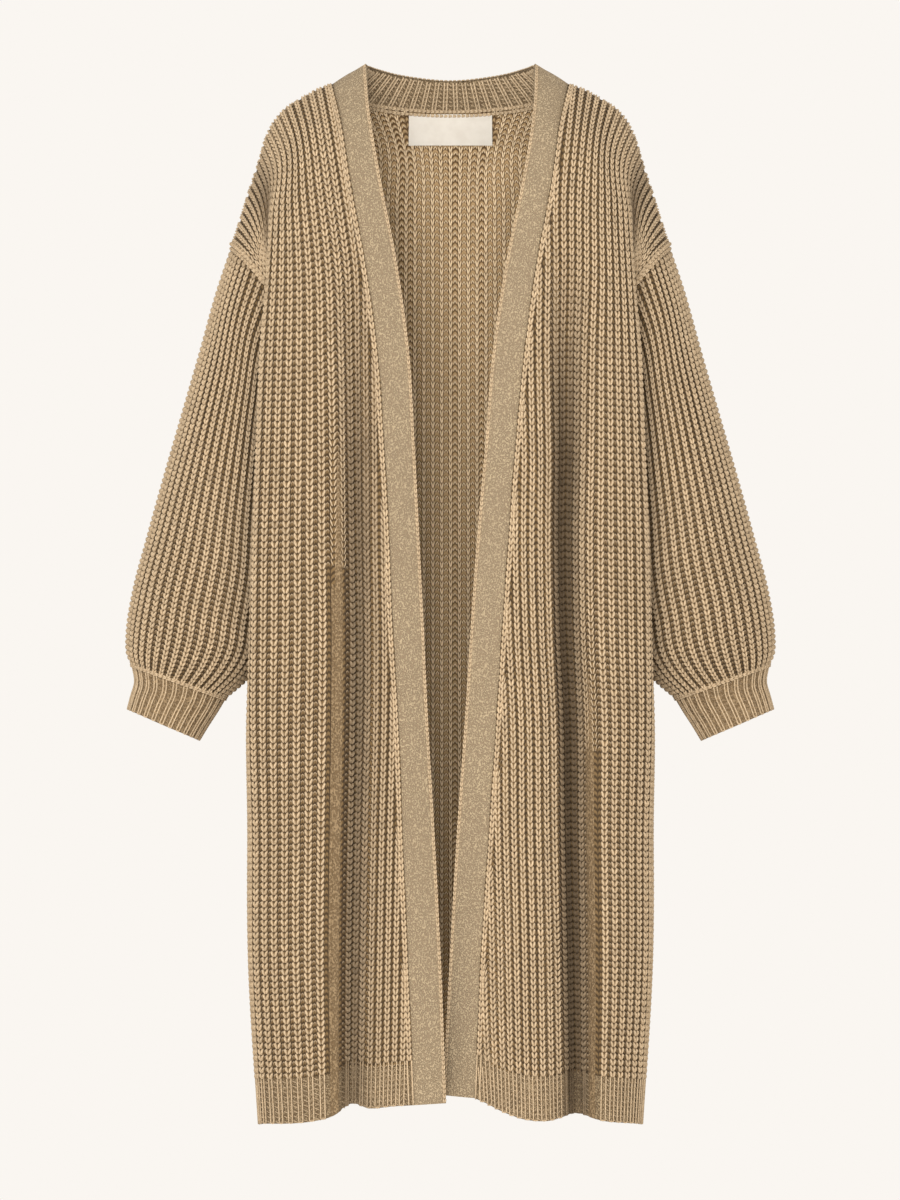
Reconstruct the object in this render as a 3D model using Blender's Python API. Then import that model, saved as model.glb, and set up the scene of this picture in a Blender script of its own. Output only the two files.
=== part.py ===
"""Long open-front chunky knit cardigan in its worn, filled-out form, as its sewn pieces.

The frame has +Z up, the front towards -Y and the wearer's left towards +X.  The origin lies
midway between the two neck points, on the shoulder line.  All sizes below are millimetres.

Every cloth piece is a wall: a surface worked out from short tables of sections, its points
moved out for the raised knit ribs, and a plain inside one wall thickness behind it.
"""
import math

import bpy
import numpy as np

MM = 0.001

# ---------------------------------------------------------------- driving sizes (mm)
WALL = 2.6              # knitted fabric between the ribs
RIB_RAISE = 1.5         # how far a knit rib stands out of the wall
HEM_RIB_RAISE = 2.0     # the same on the ribbed hem and cuffs
HEM_RIB_HEIGHT = 46.0   # height of the ribbed hem
CREASE_RAISE = 0.5      # what is left of the ribs in the crease above the hem
BAND_WALL = 3.4         # front bands and neck rib, knitted double
BAND_CROWN = 1.2        # how far a band swells between its edges
NECK_RIB_RAISE = 1.0    # ribs on both faces of the neck rib
SEAM_GAP = 0.3          # between two pieces that are sewn together

SIDE_WALES = 12         # knit ribs from the side seam to the front corner of the body
FRONT_WALES = 10        # from there to the long fold
BAND_WALES = 4          # from the fold to the band
BACK_SIDE_WALES = 8     # back panel: side seam to corner
BACK_SHOULDER_WALES = 8     # corner to the line of the neck point
BACK_NECK_WALES = 13    # neck point to the middle of the back
SLEEVE_WALES = 40       # round the sleeve
CUFF_RIBS = 20          # round the cuff
NECK_RIBS = 2 * BACK_NECK_WALES     # round the back of the neck, one to each wale below

DENSE = 60              # points between two control points of a section
INNER_STEP = 4          # outer columns to one column of the plain inside
BAND_COLUMNS = 5
NECK_ROWS = 4
OVER_SHOULDER = (1, -1, 1)      # turns a row to its mirror image behind the shoulder line
IN_SEAM_PLANE = (1, 0, 1)       # the shoulder and side seams lie in the plane y = 0

# ---------------------------------------------------------------- shared curves
# Shoulder line, from the neck seam over the shoulder and down to the dropped armhole.
SHOULDER_LINE = (       # x outwards, z
    (124.0, -18.0), (141.0, -25.0), (160.0, -35.5), (173.0, -44.0), (184.0, -56.0),
    (194.0, -77.0), (203.0, -107.0), (211.0, -131.0), (220.0, -160.0), (229.0, -188.0))
SHOULDER_CORNER_X = 196.0   # where the wale that runs down the body's front corner starts
SHOULDER_FOLD_X = 134.0     # where the wale that runs down the long fold starts

ARMHOLE_TOP = (229.0, -188.0)       # x, z
ARMHOLE_MIDDLE = (189.0, -232.0)
ARMHOLE_BOTTOM = (156.0, -300.0)
ARMHOLE_HALF_DEPTH = 56.0

# Share of the drop between the band seam and the armhole at each control line of a row.
DROP_SHARE = {"crest": 0.10, "corner": 0.37, "dent": 0.70, "edge": 1.0}

# The body's outer sections, the same on both sides: one row a level, x outwards, y to the
# front.  The armhole share says how far round the armhole the row ends, 1 at the armpit.
BODY_COLUMNS = ("seam_z", "crest_x", "crest_y", "corner_x", "corner_y",
                "dent_x", "dent_y", "side_x", "armhole_share")
BODY_LEVELS = (
    (-52.0, 155.0, 54.0, 187.0, 45.0, 206.0, 40.0, None, 0.20),
    (-125.0, 155.0, 92.0, 190.0, 74.0, 194.0, 63.0, None, 0.45),
    (-212.0, 156.0, 109.0, 194.0, 86.0, 170.0, 67.0, None, 0.75),
    (-300.0, 158.0, 117.0, 199.0, 91.0, 160.0, 52.0, 156.0, 1.00),
    (-400.0, 160.0, 120.0, 203.0, 92.0, 164.0, 53.0, 144.0, None),
    (-500.0, 160.0, 122.0, 207.0, 92.0, 177.0, 54.0, 158.0, None),
    (-600.0, 160.0, 122.0, 209.0, 91.0, 194.0, 52.0, 179.0, None),
    (-680.0, 160.0, 122.0, 210.0, 88.0, 208.0, 50.0, 203.0, None),
    (-800.0, 160.0, 122.0, 207.0, 86.0, 211.0, 46.0, 210.0, None),
    (-950.0, 158.0, 122.0, 206.0, 86.0, 210.0, 46.0, 210.0, None),
    (-1090.0, 152.0, 120.0, 197.0, 84.0, 200.0, 44.0, 200.0, None))

# The opening's side of each front: band seam, the flat beside it, the long fold and the
# band's free edge.  fold_depth is how far the fold falls back.
OPENING_COLUMNS = ("seam_x", "seam_y", "flat_x", "flat_y", "fold_x", "fold_depth",
                   "free_x", "free_y", "free_z")
OPENING_RIGHT = (       # wearer's right, on the left seen from the front
    (116.0, 50.0, 122.0, 52.0, 128.0, 0.0, 86.5, 43.0, -34.0),
    (104.0, 82.0, 112.0, 85.0, 116.0, 0.0, 74.5, 76.0, -112.0),
    (88.0, 98.0, 96.0, 101.0, 104.0, 4.0, 56.5, 92.0, -205.0),
    (76.0, 106.0, 90.0, 110.0, 102.0, 10.0, 43.6, 100.0, -298.0),
    (69.0, 110.0, 85.0, 114.0, 101.0, 16.0, 37.5, 104.0, -400.0),
    (63.5, 113.0, 82.0, 117.0, 99.0, 20.0, 32.5, 106.0, -500.0),
    (59.5, 114.0, 80.0, 118.0, 98.0, 22.0, 27.5, 107.0, -600.0),
    (54.5, 115.0, 78.0, 119.0, 99.0, 23.0, 24.0, 108.0, -680.0),
    (50.0, 116.0, 75.0, 120.0, 101.0, 23.0, 17.0, 109.0, -800.0),
    (43.5, 118.0, 70.0, 121.0, 103.0, 24.0, 9.5, 111.0, -950.0),
    (38.0, 120.0, 68.0, 122.0, 104.0, 24.0, 4.5, 114.0, -1088.0))
OPENING_LEFT = (        # wearer's left, on the right seen from the front
    (116.0, 50.0, 122.0, 52.0, 130.0, 0.0, 88.0, 43.0, -34.0),
    (105.0, 82.0, 114.0, 85.0, 124.0, 0.0, 77.0, 76.0, -112.0),
    (89.0, 98.0, 103.0, 102.0, 123.0, 6.0, 58.5, 92.0, -205.0),
    (77.0, 106.0, 95.0, 111.0, 122.0, 16.0, 44.6, 100.0, -298.0),
    (67.5, 110.0, 90.0, 115.0, 121.0, 24.0, 36.3, 104.0, -400.0),
    (60.0, 113.0, 85.0, 118.0, 120.0, 30.0, 27.5, 106.0, -500.0),
    (53.0, 114.0, 82.0, 120.0, 122.0, 33.0, 20.5, 106.0, -600.0),
    (48.0, 115.0, 80.0, 121.0, 125.0, 34.0, 15.5, 106.0, -680.0),
    (40.0, 114.0, 78.0, 122.0, 127.0, 35.0, 7.0, 103.0, -800.0),
    (30.5, 107.0, 77.0, 122.0, 129.0, 36.0, -1.5, 93.0, -950.0),
    (25.5, 98.0, 78.0, 121.0, 131.0, 36.0, -8.0, 84.0, -1080.0))
FOLD_WIDTH = {"right": 14.0, "left": 19.0}

# How low the hem hangs at each control line, and how far the fold lifts it.
HEM_COLUMNS = ("seam", "flat", "crest", "corner", "dent", "edge", "fold_lift")
HEM_RIGHT = (-1090.0, -1092.0, -1108.0, -1110.0, -1111.0, -1112.0, 10.0)
HEM_LEFT = (-1083.0, -1105.0, -1107.0, -1110.0, -1111.0, -1112.0, 8.0)
HEM_BACK = (-1084.0, -1086.0, -1093.0, -1105.0, -1110.0, -1112.0, 4.0)

# Back panel: middle of the back, half way, the line under the neck point, then as the body.
BACK_COLUMNS = ("seam_z", "middle_z", "middle_y", "half_x", "half_y", "neck_x", "neck_y")
BACK_LEVELS = (
    (-52.0, -96.0, 92.0, 66.0, 84.0, 124.0, 58.0),
    (-125.0, -160.0, 107.0, 64.0, 105.0, 123.0, 96.0),
    (-212.0, -230.0, 114.0, 63.0, 114.0, 123.0, 110.0),
    (-300.0, -300.0, 117.0, 63.0, 119.0, 123.0, 116.0),
    (-400.0, -400.0, 118.0, 63.0, 121.0, 123.0, 119.0),
    (-500.0, -500.0, 118.0, 63.0, 122.0, 123.0, 120.0),
    (-600.0, -600.0, 118.0, 63.0, 122.0, 123.0, 121.0),
    (-680.0, -680.0, 118.0, 63.0, 122.0, 123.0, 121.0),
    (-800.0, -800.0, 119.0, 63.0, 123.0, 123.0, 121.0),
    (-950.0, -950.0, 120.0, 63.0, 124.0, 123.0, 122.0),
    (-1090.0, -1090.0, 120.0, 62.0, 124.0, 121.0, 121.0))
BACK_FOLDS = (          # x, width, depth at the chest, depth at the hem
    (-128.0, 22.0, 4.0, 17.0),
    (-46.0, 26.0, 3.0, 13.0),
    (52.0, 24.0, 3.0, 15.0),
    (134.0, 22.0, 4.0, 18.0))

BACK_FOLDS_FROM = 60.0      # level where the folds of the back begin
BACK_FOLDS_BEHIND = 60.0    # they reach no further forward than this y
NECK_TURN = 12.0            # over this width the back turns from shoulder to neck

# Back of the neck: the seam on the back panel and the neck rib's free edge.
NECK_SEAM = ((124.0, 0.0, -18.0), (112.0, 31.0, -29.0), (70.0, 58.0, -40.0), (0.0, 70.0, -45.0))
NECK_FREE = ((88.7, 0.0, 2.0), (79.0, 27.0, -1.5), (52.0, 50.0, -8.5), (0.0, 60.0, -14.0))

# Rings along the arm: the outermost point (x, z), the innermost point (x, z), half the depth.
SLEEVE_LEVELS = (
    (229.0, -188.0, 156.0, -300.0, 56.0),
    (244.0, -234.0, 177.0, -326.0, 56.0),
    (262.0, -300.0, 185.0, -378.0, 58.0),
    (281.0, -366.0, 187.0, -435.0, 62.0),
    (300.0, -432.0, 188.0, -492.0, 66.0),
    (318.0, -497.0, 188.0, -548.0, 70.0),
    (332.0, -550.0, 194.0, -592.0, 72.0),
    (339.0, -594.0, 201.0, -626.0, 69.0),
    (339.0, -617.0, 216.0, -645.0, 58.0),
    (334.0, -629.0, 238.0, -664.0, 43.0))
CUFF_LEVELS = (
    (334.0, -629.0, 238.0, -664.0, 43.0),
    (331.0, -645.0, 245.0, -676.0, 38.5),
    (335.0, -661.0, 256.0, -693.0, 37.0),
    (339.0, -676.0, 265.0, -708.0, 38.0))

# The arm's rings keep this much of the armhole's shape one ring on, and their ribs are
# evenly spaced from this ring down.
SEAM_SHAPE_KEPT = 0.4
EVEN_BY_RING = 2.0

# Between these levels the panels are pressed flat under the arm, this many columns in.
UNDER_ARM_LEVELS = (200.0, 320.0)
UNDER_ARM_COLUMNS = 10

# Where the solids have their rows of points: levels below the origin on the body, the first
# on the shoulder line, and counts of table rows along the arm.
BODY_ROWS = (18.0, 34.0, 52.0, 85.0, 125.0, 168.0, 212.0, 256.0, 300.0, 390.0, 490.0, 590.0,
             690.0, 860.0, 1044.0, 1050.0, 1090.0)
SLEEVE_STATIONS = (0.0, 0.25, 1.0, 2.0, 3.0, 4.0, 5.0, 6.0, 7.0, 8.0, 8.7, 9.0)
CUFF_STATIONS = (0.0, 0.4, 1.0, 2.0, 3.0)

LABEL_WIDTH = 88.0
LABEL_THICKNESS = 0.8
LABEL_CLEARANCE = 1.0       # from the plain inside of the back
LABEL_LEVELS = (22.5, 34.0, 42.0)      # where its rows lie on the back panel
LABEL_COLUMNS = 9

FINISHES = {            # linear colour, roughness
    "knit": ((0.50, 0.38, 0.24), 0.95),
    "band": ((0.56, 0.44, 0.29), 0.93),
    "label": ((0.84, 0.82, 0.77), 0.75)}


# ---------------------------------------------------------------- curves and surfaces
def named(names, row):
    """One row of a table by its column names."""
    return dict(zip(names, row))


def smooth(knots, values, at):
    """Values on the smooth curve that passes through the given ones at the given knots."""
    knots, values, at = (np.asarray(item, float) for item in (knots, values, at))
    shape = (-1,) + (1,) * (values.ndim - 1)
    steps = np.diff(knots).reshape(shape)
    slopes = np.diff(values, axis=0) / steps
    tangents = np.empty_like(values)
    tangents[1:-1] = (slopes[:-1] * steps[1:] + slopes[1:] * steps[:-1]) / (steps[:-1] + steps[1:])
    tangents[0], tangents[-1] = slopes[0], slopes[-1]
    index = np.clip(np.searchsorted(knots, at, side="right") - 1, 0, len(steps) - 1)
    step = steps[index]
    t = (at - knots[index]).reshape(shape) / step
    return ((2 * t**3 - 3 * t**2 + 1) * values[index]
            + (t**3 - 2 * t**2 + t) * step * tangents[index]
            + (3 * t**2 - 2 * t**3) * values[index + 1]
            + (t**3 - t**2) * step * tangents[index + 1])


def through(points):
    """A close-set curve through the control points, and where each of them lies on it."""
    points = np.asarray(points, float)
    spans = np.sqrt(np.linalg.norm(np.diff(points, axis=0), axis=1))
    knots = np.concatenate([[0.0], np.cumsum(spans)])
    at = np.concatenate([np.linspace(a, b, DENSE, endpoint=False)
                         for a, b in zip(knots[:-1], knots[1:])] + [knots[-1:]])
    return smooth(knots, points, at), np.arange(len(points)) * DENSE


def spread(curve, anchors, wales):
    """Points at half-wale steps; wales says how many ribs lie between two anchors."""
    length = np.concatenate([[0.0], np.cumsum(np.linalg.norm(np.diff(curve, axis=0), axis=1))])
    at = [np.linspace(length[a], length[b], 2 * count, endpoint=False)
          for a, b, count in zip(anchors[:-1], anchors[1:], wales)]
    at = np.concatenate(at + [[length[anchors[-1]]]])
    return np.column_stack([np.interp(at, length, curve[:, k]) for k in range(3)])


def nearest_x(curve, x, first, last):
    """Index of the point of the curve nearest to x between two indices."""
    return first + int(np.argmin(np.abs(curve[first:last + 1, 0] - x)))


def unit(vectors):
    """The vectors at length 1."""
    return vectors / np.linalg.norm(vectors, axis=-1, keepdims=True)


def square_to(normals, along):
    """The normals turned square to the given directions."""
    along = unit(along)
    return unit(normals - along * np.sum(normals * along, axis=-1, keepdims=True))


def armhole(share):
    """The armhole seam on the front: share runs from 0 at its top to 1 at the armpit."""
    share = np.asarray(share, float)
    ease = ((1 - np.cos(math.pi * share)) / 2)[..., None]
    top, middle, bottom = map(np.array, (ARMHOLE_TOP, ARMHOLE_MIDDLE, ARMHOLE_BOTTOM))
    pull = 2 * middle - (top + bottom) / 2
    path = (1 - ease)**2 * top + 2 * ease * (1 - ease) * pull + ease**2 * bottom
    depth = -ARMHOLE_HALF_DEPTH * np.sin(math.pi * share)
    return np.stack([path[..., 0], depth, path[..., 1]], axis=-1)


def armhole_normals(share):
    """Which way the outside of the cloth faces along the armhole seam, on the front."""
    share = np.asarray(share, float)
    turn = math.pi * share[..., None]
    top, front, under = map(np.array, ((0.95, 0.0, 0.30), (0.1, -1.0, 0.0), (0.0, 0.0, -1.0)))
    blend = np.cos(turn / 2)**2 * top + np.sin(turn) * front + np.sin(turn / 2)**2 * under
    step = 0.01
    return square_to(blend, armhole(share + step) - armhole(share - step))


# ---------------------------------------------------------------- sections of the panels
PANEL_LEVELS = np.array([-SHOULDER_LINE[0][1]] + [-row[0] for row in BODY_LEVELS])
ARMPIT_LEVEL = -ARMHOLE_BOTTOM[1]


def armhole_shares(at):
    """How far round the armhole each level reaches, down to the armpit."""
    shares = [0.0] + [row[-1] for row in BODY_LEVELS if row[-1] is not None]
    return np.clip(smooth(PANEL_LEVELS[:len(shares)], shares, at), 0.0, 1.0)


def body_points(body, sign, level):
    """The control points that a front and the back share at one level, from the side edge."""
    return [(body["dent_x"], sign * body["dent_y"], level["dent"]),
            (body["corner_x"], sign * body["corner_y"], level["corner"])]


def row_levels(body, sign, hem):
    """The side edge and the height of each control line in one row of a panel."""
    if body["armhole_share"] is None or body["side_x"] is not None:
        edge = np.array([body["side_x"], 0.0, body["seam_z"]])
    else:
        edge = armhole(body["armhole_share"]) * (1, -sign, 1)
    drop = body["seam_z"] - edge[2]
    level = {name: body["seam_z"] - share * drop for name, share in DROP_SHARE.items()}
    if body["seam_z"] == BODY_LEVELS[-1][0]:
        level = hem
        edge[2] = hem["edge"]
    return edge, level


def front_rows(side):
    """Sections of a front from its side edge to the band seam, on the wearer's left."""
    opening = OPENING_LEFT if side == "left" else OPENING_RIGHT
    hem = named(HEM_COLUMNS, HEM_LEFT if side == "left" else HEM_RIGHT)
    wales = (SIDE_WALES, FRONT_WALES, BAND_WALES)

    line, ends = through([(x, 0.0, z) for x, z in reversed(SHOULDER_LINE)])
    corner = nearest_x(line, SHOULDER_CORNER_X, 0, ends[-1])
    fold = nearest_x(line, SHOULDER_FOLD_X, 0, ends[-1])
    rows = [spread(line, (0, corner, fold, ends[-1]), wales)]
    for body_row, opening_row in zip(BODY_LEVELS, opening):
        body, gap = named(BODY_COLUMNS, body_row), named(OPENING_COLUMNS, opening_row)
        edge, level = row_levels(body, -1, hem)
        curve, at = through([
            edge, *body_points(body, -1, level),
            (body["crest_x"], -body["crest_y"], level["crest"]),
            (gap["flat_x"], -gap["flat_y"], level.get("flat", body["seam_z"])),
            (gap["seam_x"], -gap["seam_y"], level.get("seam", body["seam_z"]))])
        trough = np.exp(-((curve[:, 0] - gap["fold_x"]) / FOLD_WIDTH[side])**2)
        trough[:at[2]] = 0.0
        curve[:, 1] += gap["fold_depth"] * trough
        curve[:, 2] += level.get("fold_lift", 0.0) * trough
        fold = nearest_x(curve, gap["fold_x"], at[2], at[5])
        rows.append(spread(curve, (0, at[2], fold, at[5]), wales))
    return np.array(rows)


def neck_half(table):
    """A curve round the back of the neck, from the left neck point to the middle."""
    curve, at = through(list(table) + [(-x, y, z) for x, y, z in table[-2::-1]])
    return curve[:at[len(table) - 1] + 1]


def back_rows():
    """Sections of the back from its right side edge to its left one."""
    wales = (BACK_SIDE_WALES, BACK_SHOULDER_WALES, BACK_NECK_WALES)
    hem = named(HEM_COLUMNS, HEM_BACK)

    line, ends = through([(x, 0.0, z) for x, z in reversed(SHOULDER_LINE)])
    top = np.vstack([line, neck_half(NECK_SEAM)[1:]])
    corner = nearest_x(line, SHOULDER_CORNER_X, 0, ends[-1])
    halves = [spread(top, (0, corner, ends[-1], len(top) - 1), wales)]
    for body_row, back_row in zip(BODY_LEVELS, BACK_LEVELS):
        body, back = named(BODY_COLUMNS, body_row), named(BACK_COLUMNS, back_row)
        edge, level = row_levels(body, 1, hem)
        half_z = (back["middle_z"] + body["seam_z"]) / 2
        half = (back["half_x"], back["half_y"], level.get("flat", half_z))
        curve, at = through([
            edge, *body_points(body, 1, level),
            (back["neck_x"], back["neck_y"], level["crest"]), half,
            (0.0, back["middle_y"], level.get("seam", back["middle_z"])),
            (-half[0], half[1], half[2])])
        halves.append(spread(curve[:at[5] + 1], (0, at[2], at[3], at[5]), wales))

    rows = []
    for index, half in enumerate(halves):
        row = np.vstack([half * (-1, 1, 1), half[-2::-1]])
        low_share = np.clip((PANEL_LEVELS[index] - BACK_FOLDS_FROM)
                            / (PANEL_LEVELS[-1] - BACK_FOLDS_FROM), 0.0, 1.0)
        for x, width, chest, low in BACK_FOLDS:
            depth = (chest + (low - chest) * low_share) * (PANEL_LEVELS[index] > BACK_FOLDS_FROM)
            trough = np.exp(-((row[:, 0] - x) / width)**2) * (row[:, 1] > BACK_FOLDS_BEHIND)
            row[:, 1] -= depth * trough
            row[:, 2] += hem["fold_lift"] * trough * (index == len(halves) - 1)
        rows.append(row)
    return np.array(rows)


def surface(rows, lead, at):
    """Points and outward normals of a panel at the given levels.

    lead is a section ahead of the first: it sets how the cloth leaves its top edge.
    """
    rows = np.concatenate([lead[None], rows])
    knots = np.concatenate([[2 * PANEL_LEVELS[0] - PANEL_LEVELS[1]], PANEL_LEVELS])
    at = np.asarray(at, float)
    points = smooth(knots, rows, at)
    step = 0.5
    down = (smooth(knots, rows, np.minimum(at + step, knots[-1]))
            - smooth(knots, rows, np.maximum(at - step, knots[1])))
    return points, unit(np.cross(np.gradient(points, axis=1), down))


def front_surface(side, at):
    """A front at the given levels, as on the wearer's left."""
    rows = front_rows(side)
    points, normals = surface(rows, rows[1] * OVER_SHOULDER, at)
    below_arm = np.asarray(at) >= ARMPIT_LEVEL
    points[below_arm, :, 1] = np.minimum(points[below_arm, :, 1], 0.0)
    normals[:, 0] = side_edge_normals(points[:, 0], at, -1)
    if at[0] <= PANEL_LEVELS[0]:
        normals[0] = square_to(normals[0] * IN_SEAM_PLANE, np.gradient(points[0], axis=0))
    return points, normals


def back_surface(at):
    """The back panel at the given levels."""
    rows = back_rows()
    from_neck = 2 * rows[0] - rows[1]
    reach = np.abs(rows[0][:, 0])
    share = np.clip((NECK_SEAM[0][0] - reach) / NECK_TURN, 0.0, 1.0)[:, None]
    lead = rows[1] * OVER_SHOULDER * (1 - share) + from_neck * share
    points, normals = surface(rows, lead, at)
    below_arm = np.asarray(at) >= ARMPIT_LEVEL
    points[below_arm, :, 1] = np.maximum(points[below_arm, :, 1], 0.0)
    normals[:, -1] = side_edge_normals(points[:, -1], at, 1)
    normals[:, 0] = normals[:, -1] * (-1, 1, 1)
    on_shoulder = share[:, 0] == 0.0
    if at[0] <= PANEL_LEVELS[0]:
        flat = square_to(normals[0] * IN_SEAM_PLANE, np.gradient(points[0], axis=0))
        normals[0] = np.where(on_shoulder[:, None], flat, normals[0])
    return points, normals


def side_edge_normals(points, at, sign):
    """Normals down a panel's side edge: along the armhole, then down the side seam."""
    on_armhole = armhole_normals(armhole_shares(at)) * (1, -sign, 1)
    on_side = square_to(np.tile((1.0, 0.0, 0.0), (len(points), 1)),
                        np.gradient(points, axis=0) * IN_SEAM_PLANE)
    return np.where((np.asarray(at) <= ARMPIT_LEVEL)[:, None], on_armhole, on_side)


def band_surface(side, at):
    """A front band at the given levels, from its seam to its free edge, on the left."""
    opening = OPENING_LEFT if side == "left" else OPENING_RIGHT
    seam = front_rows(side)[:, -1]
    gaps = [named(OPENING_COLUMNS, row) for row in opening]
    free = np.array([NECK_FREE[0]] + [(g["free_x"], -g["free_y"], g["free_z"]) for g in gaps])
    share = np.linspace(0.0, 1.0, BAND_COLUMNS)[:, None]
    rows = np.array([a * (1 - share) + b * share for a, b in zip(seam, free)])
    points, normals = surface(rows, rows[1] * OVER_SHOULDER, at)
    points = points + normals * BAND_CROWN * np.sin(math.pi * share)[None]
    if at[0] <= PANEL_LEVELS[0]:
        points[0, :, 1] = 0.0
        normals[0] = square_to(normals[0] * IN_SEAM_PLANE, np.gradient(points[0], axis=0))
    return points, normals


def neck_surface():
    """The neck rib from its free edge to its seam, right shoulder to left."""
    edges = []
    for table in (NECK_FREE, NECK_SEAM):
        half = neck_half(table)
        half = spread(half, (0, len(half) - 1), (NECK_RIBS // 2,))
        edges.append(np.vstack([half * (-1, 1, 1), half[-2::-1]]))
    share = np.linspace(0.0, 1.0, NECK_ROWS)[:, None, None]
    points = edges[0][None] * (1 - share) + edges[1][None] * share
    down = np.tile(edges[1] - edges[0], (NECK_ROWS, 1, 1))
    normals = unit(np.cross(np.gradient(points, axis=1), down))
    for end in (0, -1):
        normals[:, end] = square_to(normals[:, end] * IN_SEAM_PLANE, down[:, end])
    return points, normals


def ring(level, turn):
    """Points round one ring of the arm: outermost, front, innermost, back."""
    outer_x, outer_z, inner_x, inner_z, half_depth = level
    middle = np.array([outer_x + inner_x, 0.0, outer_z + inner_z]) / 2
    reach = np.array([outer_x - inner_x, 0.0, outer_z - inner_z]) / 2
    return (middle + np.cos(turn)[:, None] * reach
            - np.sin(turn)[:, None] * np.array([0.0, half_depth, 0.0]))


def arm_surface(levels, turns, stations, top=None, top_normals=None):
    """Rings of a sleeve or cuff at stations, counted in rows of its table.

    top, where given, is the seam that the first ring lies on; the next ring keeps a part of
    its shape.
    """
    rows = np.array([ring(level, turn) for level, turn in zip(levels, turns)])
    if top is not None:
        rows[1] += (top - rows[0]) * SEAM_SHAPE_KEPT
        rows[0] = top
    middles = np.array([row.mean(axis=0) for row in rows])
    knots = np.concatenate([[0.0], np.cumsum(np.linalg.norm(np.diff(middles, axis=0), axis=1))])
    at = np.interp(stations, np.arange(len(knots)), knots)
    points = smooth(knots, rows, at)
    step = 0.5
    down = (smooth(knots, rows, np.minimum(at + step, knots[-1]))
            - smooth(knots, rows, np.maximum(at - step, knots[0])))
    across = np.roll(points, -1, axis=1) - np.roll(points, 1, axis=1)
    normals = unit(np.cross(across, down))
    if top_normals is not None:
        normals[0] = top_normals
    return points, normals


# ---------------------------------------------------------------- solids
def material(finish):
    """The plain Principled material of a finish, made once."""
    if finish in bpy.data.materials:
        return bpy.data.materials[finish]
    colour, roughness = FINISHES[finish]
    made = bpy.data.materials.new(finish)
    made.use_nodes = True
    shader = made.node_tree.nodes["Principled BSDF"]
    shader.inputs["Base Color"].default_value = (*colour, 1.0)
    shader.inputs["Roughness"].default_value = roughness
    shader.inputs["Metallic"].default_value = 0.0
    return made


def add_object(name, points, faces, finish):
    """A named object from points in millimetres and its faces."""
    mesh = bpy.data.meshes.new(name)
    mesh.from_pydata([tuple(point) for point in np.asarray(points) * MM], [], faces)
    mesh.shade_smooth()
    mesh.set_sharp_from_angle(angle=math.radians(50))
    mesh.materials.append(material(finish))
    item = bpy.data.objects.new(name, mesh)
    bpy.context.scene.collection.objects.link(item)
    return item


def wall(name, outer, inner, finish, closed=False, mirrored=False, rising=False, fan=None):
    """A solid wall between an outer grid and a sparser inner one with the same rows.

    Both are (rows, columns, 3).  A closed wall joins its last column to its first, and a
    mirrored one has its x turned round for the wearer's right.  rising turns the diagonals of
    the side edges and fan gathers those of the top and bottom edges every so many columns, so
    that they lie as those of the piece sewn on there.
    """
    rows, outer_columns = outer.shape[:2]
    inner_columns = inner.shape[1]
    spans = outer_columns if closed else outer_columns - 1
    inner_spans = inner_columns if closed else inner_columns - 1
    ratio = spans // inner_spans
    fan = fan or ratio
    inner_fan = fan // ratio
    base = rows * outer_columns

    def out(row, col):
        return row * outer_columns + col % outer_columns

    def into(row, col):
        return base + row * inner_columns + col % inner_columns

    faces = []
    for row in range(rows - 1):
        for col in range(spans):
            faces.append((out(row, col), out(row, col + 1), out(row + 1, col + 1), out(row + 1, col)))
        for col in range(inner_spans):
            faces.append((into(row, col), into(row + 1, col),
                          into(row + 1, col + 1), into(row, col + 1)))
    for row, flip in ((0, False), (rows - 1, True)):
        for first, col in zip(range(0, spans, fan), range(0, inner_spans, inner_fan)):
            rim = [(out(row, first + k + 1), out(row, first + k), into(row, col))
                   for k in range(fan)]
            rim += [(into(row, col + k), into(row, col + k + 1), out(row, first + fan))
                    for k in range(inner_fan)]
            faces += [face[::-1] for face in rim] if flip else rim
    if not closed:
        for row in range(rows - 1):
            for col, inner_col, flip in ((0, 0, False), (spans, inner_spans, True)):
                a, b = out(row, col), out(row + 1, col)
                c, d = into(row + 1, inner_col), into(row, inner_col)
                edge = [(a, b, c), (a, c, d)] if rising else [(a, b, d), (b, c, d)]
                faces += [face[::-1] for face in edge] if flip else edge
    points = np.concatenate([outer.reshape(-1, 3), inner.reshape(-1, 3)])
    if mirrored:
        points = points * (-1, 1, 1)
        faces = [face[::-1] for face in faces]
    return add_object(name, points, faces, finish)


def part_seam(edge, normals, inside, closed=False):
    """The edge of a piece moved half a seam's gap into the piece, square to the seam."""
    if closed:
        along = np.roll(edge, -1, axis=0) - np.roll(edge, 1, axis=0)
    else:
        along = np.gradient(edge, axis=0)
    across = unit(np.cross(along, normals))
    toward = np.sign(np.sum(across * (inside - edge)))
    return edge + across * toward * SEAM_GAP / 2


def rib_height(at):
    """How far the ribs stand out at each level of a panel: flat at the top seam."""
    at = np.asarray(at, float)
    crease = PANEL_LEVELS[-1] - HEM_RIB_HEIGHT
    height = np.where(at > crease, HEM_RIB_RAISE, RIB_RAISE)
    height[at == crease] = CREASE_RAISE
    height[at <= PANEL_LEVELS[0]] = 0.0
    return height


def part_panel(points, normals):
    """Moves a panel's top and side edges off the pieces that are sewn on there."""
    points[0] = part_seam(points[0], normals[0], points[1])
    for col, inside in ((0, 2), (-1, -3)):
        points[:, col] = part_seam(points[:, col], normals[:, col], points[:, inside])


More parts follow.
